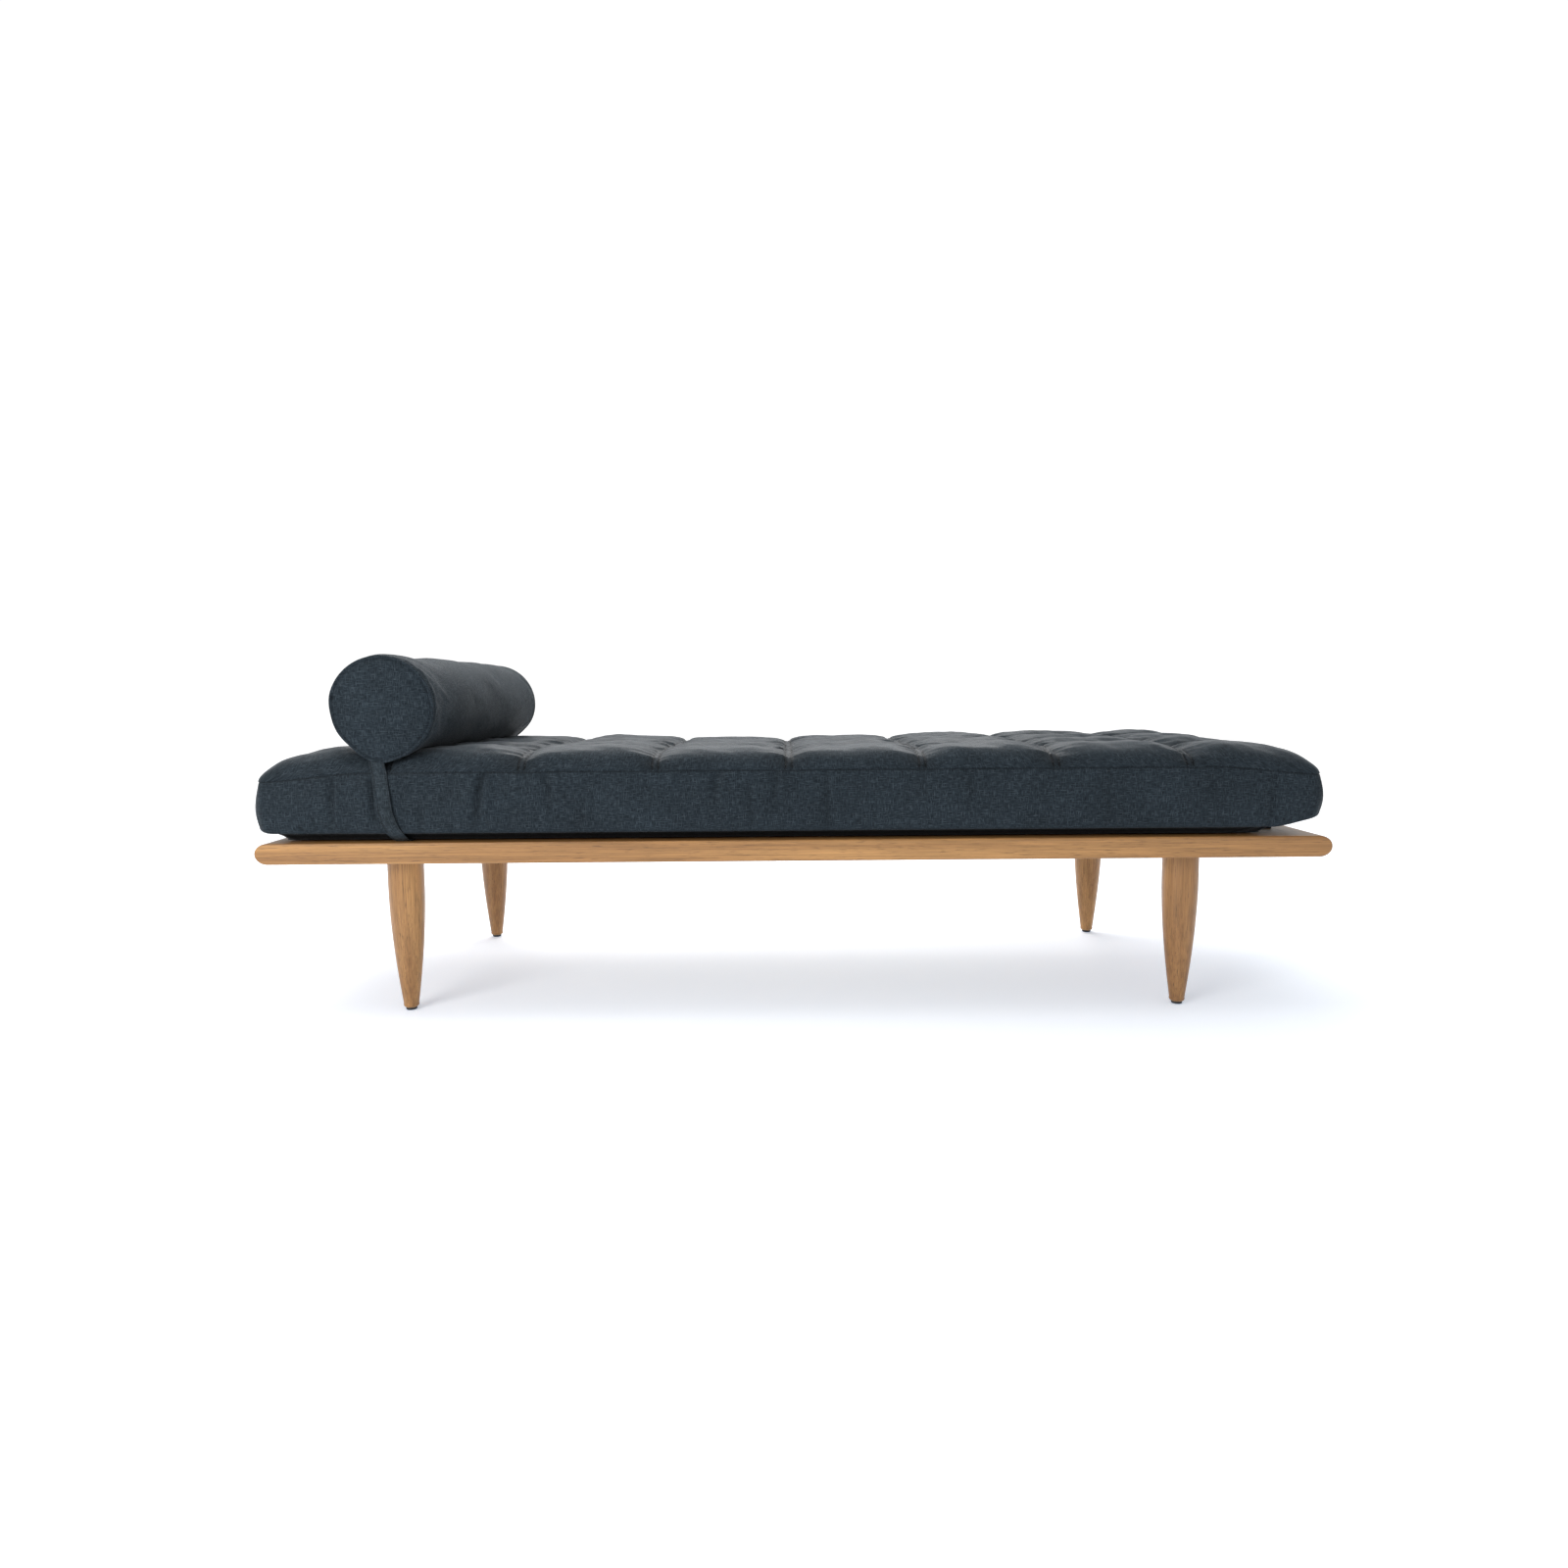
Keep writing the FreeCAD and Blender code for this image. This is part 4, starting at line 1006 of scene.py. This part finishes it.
    # painted shade on the barrel's underside, where it rests on the mattress
    under = UNDER_SHADE * on_barrel * smoothstep((1.30 - np.abs(angle - math.pi)) / 0.8)
    under = np.concatenate([under.ravel(), [0.0, 0.0]])
    return flat, faces.tolist() + poles, np.vstack([uv] + pole_uv), held, under


CASE_STEP = 0.007
CASE_SIDES = 160
points, faces, uv, held, under = bolster_shell(CASE_STEP, CASE_SIDES)
case = make_piece("bolster_case", points, faces, bolster_cloth, "bolster", uv, under)
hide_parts("bolster_cover", "bolster_front_cap", "bolster_back_cap")
settle_cloth(case, held, slack=0.006, pressure=0.8, frames=14, cap=0.0010)

points, faces, _, _, _ = bolster_shell(FOAM_STEP, 48, FOAM_INSET, 0.0)
filling = make_piece("bolster_filling", points, faces, foam, "bolster")
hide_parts("bolster_core")


# ---- ribbons: the strap and the zip tapes ----
def smooth_path(points, spacing):
    """A Catmull-Rom curve through given points, sampled evenly."""
    points = np.asarray(points, dtype=float)
    knots = np.vstack([2 * points[0] - points[1], points, 2 * points[-1] - points[-2]])
    samples = []
    for before, start, end, after in zip(knots, knots[1:], knots[2:], knots[3:]):
        count = max(2, int(np.linalg.norm(end - start) / spacing))
        for t in np.arange(count) / count:
            second = (2 * before - 5 * start + 4 * end - after) * t * t
            third = (3 * start - before - 3 * end + after) * t ** 3
            samples.append(0.5 * (2 * start + (end - before) * t + second + third))
    samples.append(points[-1])
    return np.array(samples)


def ribbon_frames(path, across):
    """Unit vectors along, across and out of a ribbon at each point of its path."""
    along = np.gradient(path, axis=0)
    along /= np.linalg.norm(along, axis=1, keepdims=True)
    across = np.broadcast_to(across, path.shape)
    across = across - along * np.sum(across * along, axis=1, keepdims=True)
    across = across / np.linalg.norm(across, axis=1, keepdims=True)
    return along, across, np.cross(along, across)


def ribbon(path, across, width, thickness, hem=0.0):
    """Closed woven ribbon with softly rounded edges.

    thickness is one number or one for each point of the path, and hem is how far in from
    each edge its stitches pull a groove. Gives points, faces, weave coordinates and painted shade.
    """
    half = width / 2
    thick = 0.5
    upper = [(half - 0.0004, thick)]
    if hem:
        upper += [(half - 0.5 * hem, thick), (half - hem, 0.1 * thick)]
        upper += [(half - 1.5 * hem, 0.7 * thick)]
    upper += [(0.0, 0.8 * thick if hem else thick)]
    upper += [(-place, height) for place, height in reversed(upper[:-1])]
    section = [(-half, -0.4 * thick), (-half + 0.0004, -thick), (0.0, -thick), (half - 0.0004, -thick)]
    section += [(half, -0.4 * thick), (half, 0.4 * thick)] + upper + [(-half, 0.4 * thick)]
    section = np.array(section)
    thickness = np.broadcast_to(thickness, len(path))
    _, side, out = ribbon_frames(path, across)
    points = (
        path[:, None, :]
        + side[:, None, :] * section[None, :, 0:1]
        + out[:, None, :] * section[None, :, 1:2] * thickness[:, None, None]
    )
    index = np.arange(points.shape[0] * len(section)).reshape(points.shape[:2])
    ahead = np.roll(index, -1, axis=1)
    faces = np.stack([index[:-1], ahead[:-1], ahead[1:], index[1:]], axis=-1).reshape(-1, 4).tolist()
    faces.append(index[0][::-1].tolist())
    faces.append(index[-1].tolist())
    run = np.concatenate([[0], np.cumsum(np.linalg.norm(np.diff(path, axis=0), axis=1))])
    flat = points.reshape(-1, 3)
    run_at = np.repeat(run, len(section))
    width_at = np.tile(section[:, 0], len(run))
    uv = np.vstack([np.column_stack([run_at[face], width_at[face]]) for face in faces])
    at_edge = np.isclose(np.abs(section[:, 0]), half)
    at_hem = np.isclose(np.abs(section[:, 0]), half - hem) & (hem > 0)
    # painted shade: the edges and the hem grooves are darkened
    painted_shade = np.tile(np.where(at_edge, 0.9, np.where(at_hem, 0.6, 0.0)), len(run))
    return flat, faces, uv, painted_shade


def face_of_mattress(x, z, side):
    """Y of the mattress's front (side -1) or back (side 1), clear at both ends of the slide."""
    reach = []
    for place in (x, x + BOLSTER_TRAVEL):
        hit = cover_tree.ray_cast(Vector((place, side * 0.5, z)), Vector((0, -side, 0)))
        reach.append(side * hit[0].y if hit[0] is not None else HALF_WIDTH)
    return side * max(reach)


def strap_path(side, gap_height):
    """Middle line of one half of the strap, from the bolster's rim to under the middle."""
    outside = side * (STRAP_STANDOFF + STRAP_THICKNESS / 2)
    drop = [(-0.7325, 0.450), (-0.7290, 0.430), (-0.7255, 0.405), (-0.7225, 0.380), (-0.7180, 0.362)]
    drop += [(-0.7125, 0.349)]
    path = [(-0.7380, side * 0.3385, 0.4770), (-0.7350, side * 0.3470, 0.4660)]
    path += [(x, face_of_mattress(x, z, side) + outside, z) for x, z in drop]
    path += [(-0.7075, side * 0.3450, 0.3400), (-0.7035, side * 0.3380, 0.3315)]
    path += [(-0.7010, side * 0.3260, gap_height + 0.0003), (-0.7000, side * 0.3120, gap_height)]
    path += [(-0.7000, side * 0.18, gap_height), (-0.7000, side * -0.058, gap_height)]
    return smooth_path(path, 0.004)


strap_stitches = []
for name, side, gap_height in (("front", -1, RAIL_TOP + 0.0010), ("back", 1, RAIL_TOP + 0.0023)):
    path = strap_path(side, gap_height)
    on_drop = smoothstep((path[:, 2] - 0.332) / 0.010)
    thickness = STRAP_THICKNESS * (1 + 1.0 * on_drop)
    points, faces, uv, painted_shade = ribbon(path, (float(-side), 0.0, 0.0), STRAP_WIDTH, thickness, STRAP_HEM)
    strap = make_piece(f"strap_{name}", points, faces, webbing, "bolster", uv, painted_shade)
    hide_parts(f"strap_{name}_half")
    _, across, out = ribbon_frames(path, (float(-side), 0.0, 0.0))
    seen = path[:, 2] > RAIL_TOP + 0.012
    for edge in (-1, 1):
        line = path + across * edge * (STRAP_WIDTH / 2 - STRAP_HEM)
        strap_stitches += [line[seen] + out[seen] * 0.0004]
points, faces = stitch_points(strap_stitches, 0.0034, 0.0025, 0.00032)
make_piece("strap_stitching", points, faces, thread, "bolster")


def make_zip(name, middle, across, out, length, body, node):
    """Tape and closed coil of a zip along Y. middle is on the tape's inner face."""
    middle, across, out = np.array(middle), np.array(across), np.array(out)
    thickness = 0.0006
    ends = [middle + out * thickness / 2 + np.array([0, y, 0]) for y in (-length / 2, length / 2)]
    path = np.linspace(ends[0], ends[1], 60)
    points, faces, uv, _ = ribbon(path, across, ZIP_TAPE, thickness)
    tape = make_piece(f"{name}_tape", points, faces, tape_cloth, body, uv)
    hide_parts(node)
    pitch = 0.0016
    turns = []
    for y in np.arange(-length / 2 + 0.004, length / 2 - 0.004, pitch):
        for side in (-1, 1):
            root = middle + out * (thickness + 0.00028) + np.array([0, y + side * pitch / 4, 0])
            turns.append(np.array([root + across * side * 0.0026, root - across * side * 0.0006]))
    points, faces = stitch_points(turns, 0.0032, 0.0034, 0.00038)
    make_piece(f"{name}_coil", points, faces, tape_cloth, body)


make_zip(
    "mattress_zip", (MATTRESS_X - HALF_LENGTH + 0.0019, 0.0, ZIP_HEIGHT), (0, 0, 1), (-1, 0, 0),
    2 * ZIP_HALF - 0.001, "mattress", "mattress_zip_tape",
)
zip_out = (math.sin(BOLSTER_ZIP_ANGLE), 0.0, math.cos(BOLSTER_ZIP_ANGLE))
zip_across = (zip_out[2], 0.0, -zip_out[0])
zip_middle = (BOLSTER_X + zip_out[0] * BOLSTER_ZIP_SEAT, 0.0, BOLSTER_Z + zip_out[2] * BOLSTER_ZIP_SEAT)
make_zip("bolster_zip", zip_middle, zip_across, zip_out, 0.499, "bolster", "bolster_zip_tape")


# ---- stage, lights and camera ----
AIR_FRONT = 0.58
AIR_BACK = 1.06
AIR_SLOPE = (-0.10, 1.0, 0.0)      # the room is brighter behind the bed, and a little at its left
FLOOR_REACH = 6.0                  # distance that the stops of the floor's glow are shares of
FLOOR_GLOW = (0.22, 0.285, 0.37)   # under the bed
FAR_GLOW = 0.50                    # and further off


def make_floor():
    floor_material, tree, shader = new_material("studio_floor")
    place = add(tree, "TexCoord").outputs["Object"]
    mottle = stretched_noise(tree, place, grey(1.3), 3.0, 0.6)
    link(tree, ramp(tree, mottle, [(0.3, grey(0.895)), (0.7, grey(0.92))]), shader, "Base Color")
    away = add(tree, "VectorMath", {0: place}, operation="LENGTH").outputs["Value"]
    away = add(tree, "Math", {0: away, 1: FLOOR_REACH}, operation="DIVIDE").outputs[0]
    glow = ramp(tree, away, [(0.25, FLOOR_GLOW), (0.75, grey(FAR_GLOW))])
    link(tree, glow, shader, "Emission Color")
    set_values(shader, {"Roughness": 0.75, "Specular IOR Level": 0.1, "Emission Strength": 1.0})
    mesh = bpy.data.meshes.new("studio_floor")
    reach = 30.0
    corners = [(-reach, -reach, 0), (reach, -reach, 0), (reach, reach, 0), (-reach, reach, 0)]
    mesh.from_pydata(corners, [], [(0, 1, 2, 3)])
    mesh.materials.append(floor_material)
    floor = bpy.data.objects.new("studio_floor", mesh)
    bpy.context.scene.collection.objects.link(floor)


def make_light(name, place, target, size, power):
    data = bpy.data.lights.new(name, "AREA")
    data.shape = "RECTANGLE"
    data.size, data.size_y = size
    data.energy = power
    lamp = bpy.data.objects.new(name, data)
    lamp.location = place
    aim = Vector(target) - Vector(place)
    lamp.rotation_euler = aim.to_track_quat("-Z", "Y").to_euler()
    bpy.context.scene.collection.objects.link(lamp)


make_floor()
world = bpy.data.worlds.new("studio_air")
world.use_nodes = True
air = world.node_tree
facing = air.nodes.new("ShaderNodeTexCoord").outputs["Generated"]
slope = add(air, "VectorMath", {0: facing, 1: AIR_SLOPE}, operation="DOT_PRODUCT").outputs["Value"]
spread = {"Value": slope, "From Min": 0.10, "From Max": 0.60, "To Min": AIR_FRONT, "To Max": AIR_BACK}
strength = add(air, "MapRange", spread, interpolation_type="SMOOTHSTEP").outputs["Result"]
air.nodes["Background"].inputs["Color"].default_value = (1.0, 1.0, 1.0, 1.0)
air.links.new(strength, air.nodes["Background"].inputs["Strength"])
bpy.context.scene.world = world
make_light("overhead", (-0.5, 0.3, 2.9), (0.0, 0.0, 0.4), (3.0, 1.6), 50.0)
make_light("behind", (-0.4, 2.1, 1.9), (0.0, 0.0, 0.45), (3.2, 0.9), 45.0)
make_light("left_window", (-1.9, -2.7, 1.7), (0.1, 0.0, 0.4), (1.6, 1.6), 50.0)

CAMERA_PLACE = (-0.0158, -2.105, 0.5852)
CAMERA_TILT = math.radians(84.754)
CAMERA_ROLL = math.radians(-0.454)
camera_data = bpy.data.cameras.new("front_camera")
camera_data.lens = 22.9
camera_data.sensor_width = 36.0
camera = bpy.data.objects.new("front_camera", camera_data)
camera.location = CAMERA_PLACE
camera.rotation_euler = (CAMERA_TILT, 0.0, 0.0)
camera.rotation_euler.rotate_axis("Z", CAMERA_ROLL)
bpy.context.scene.collection.objects.link(camera)
bpy.context.scene.camera = camera
bpy.context.scene.view_settings.view_transform = "Standard"
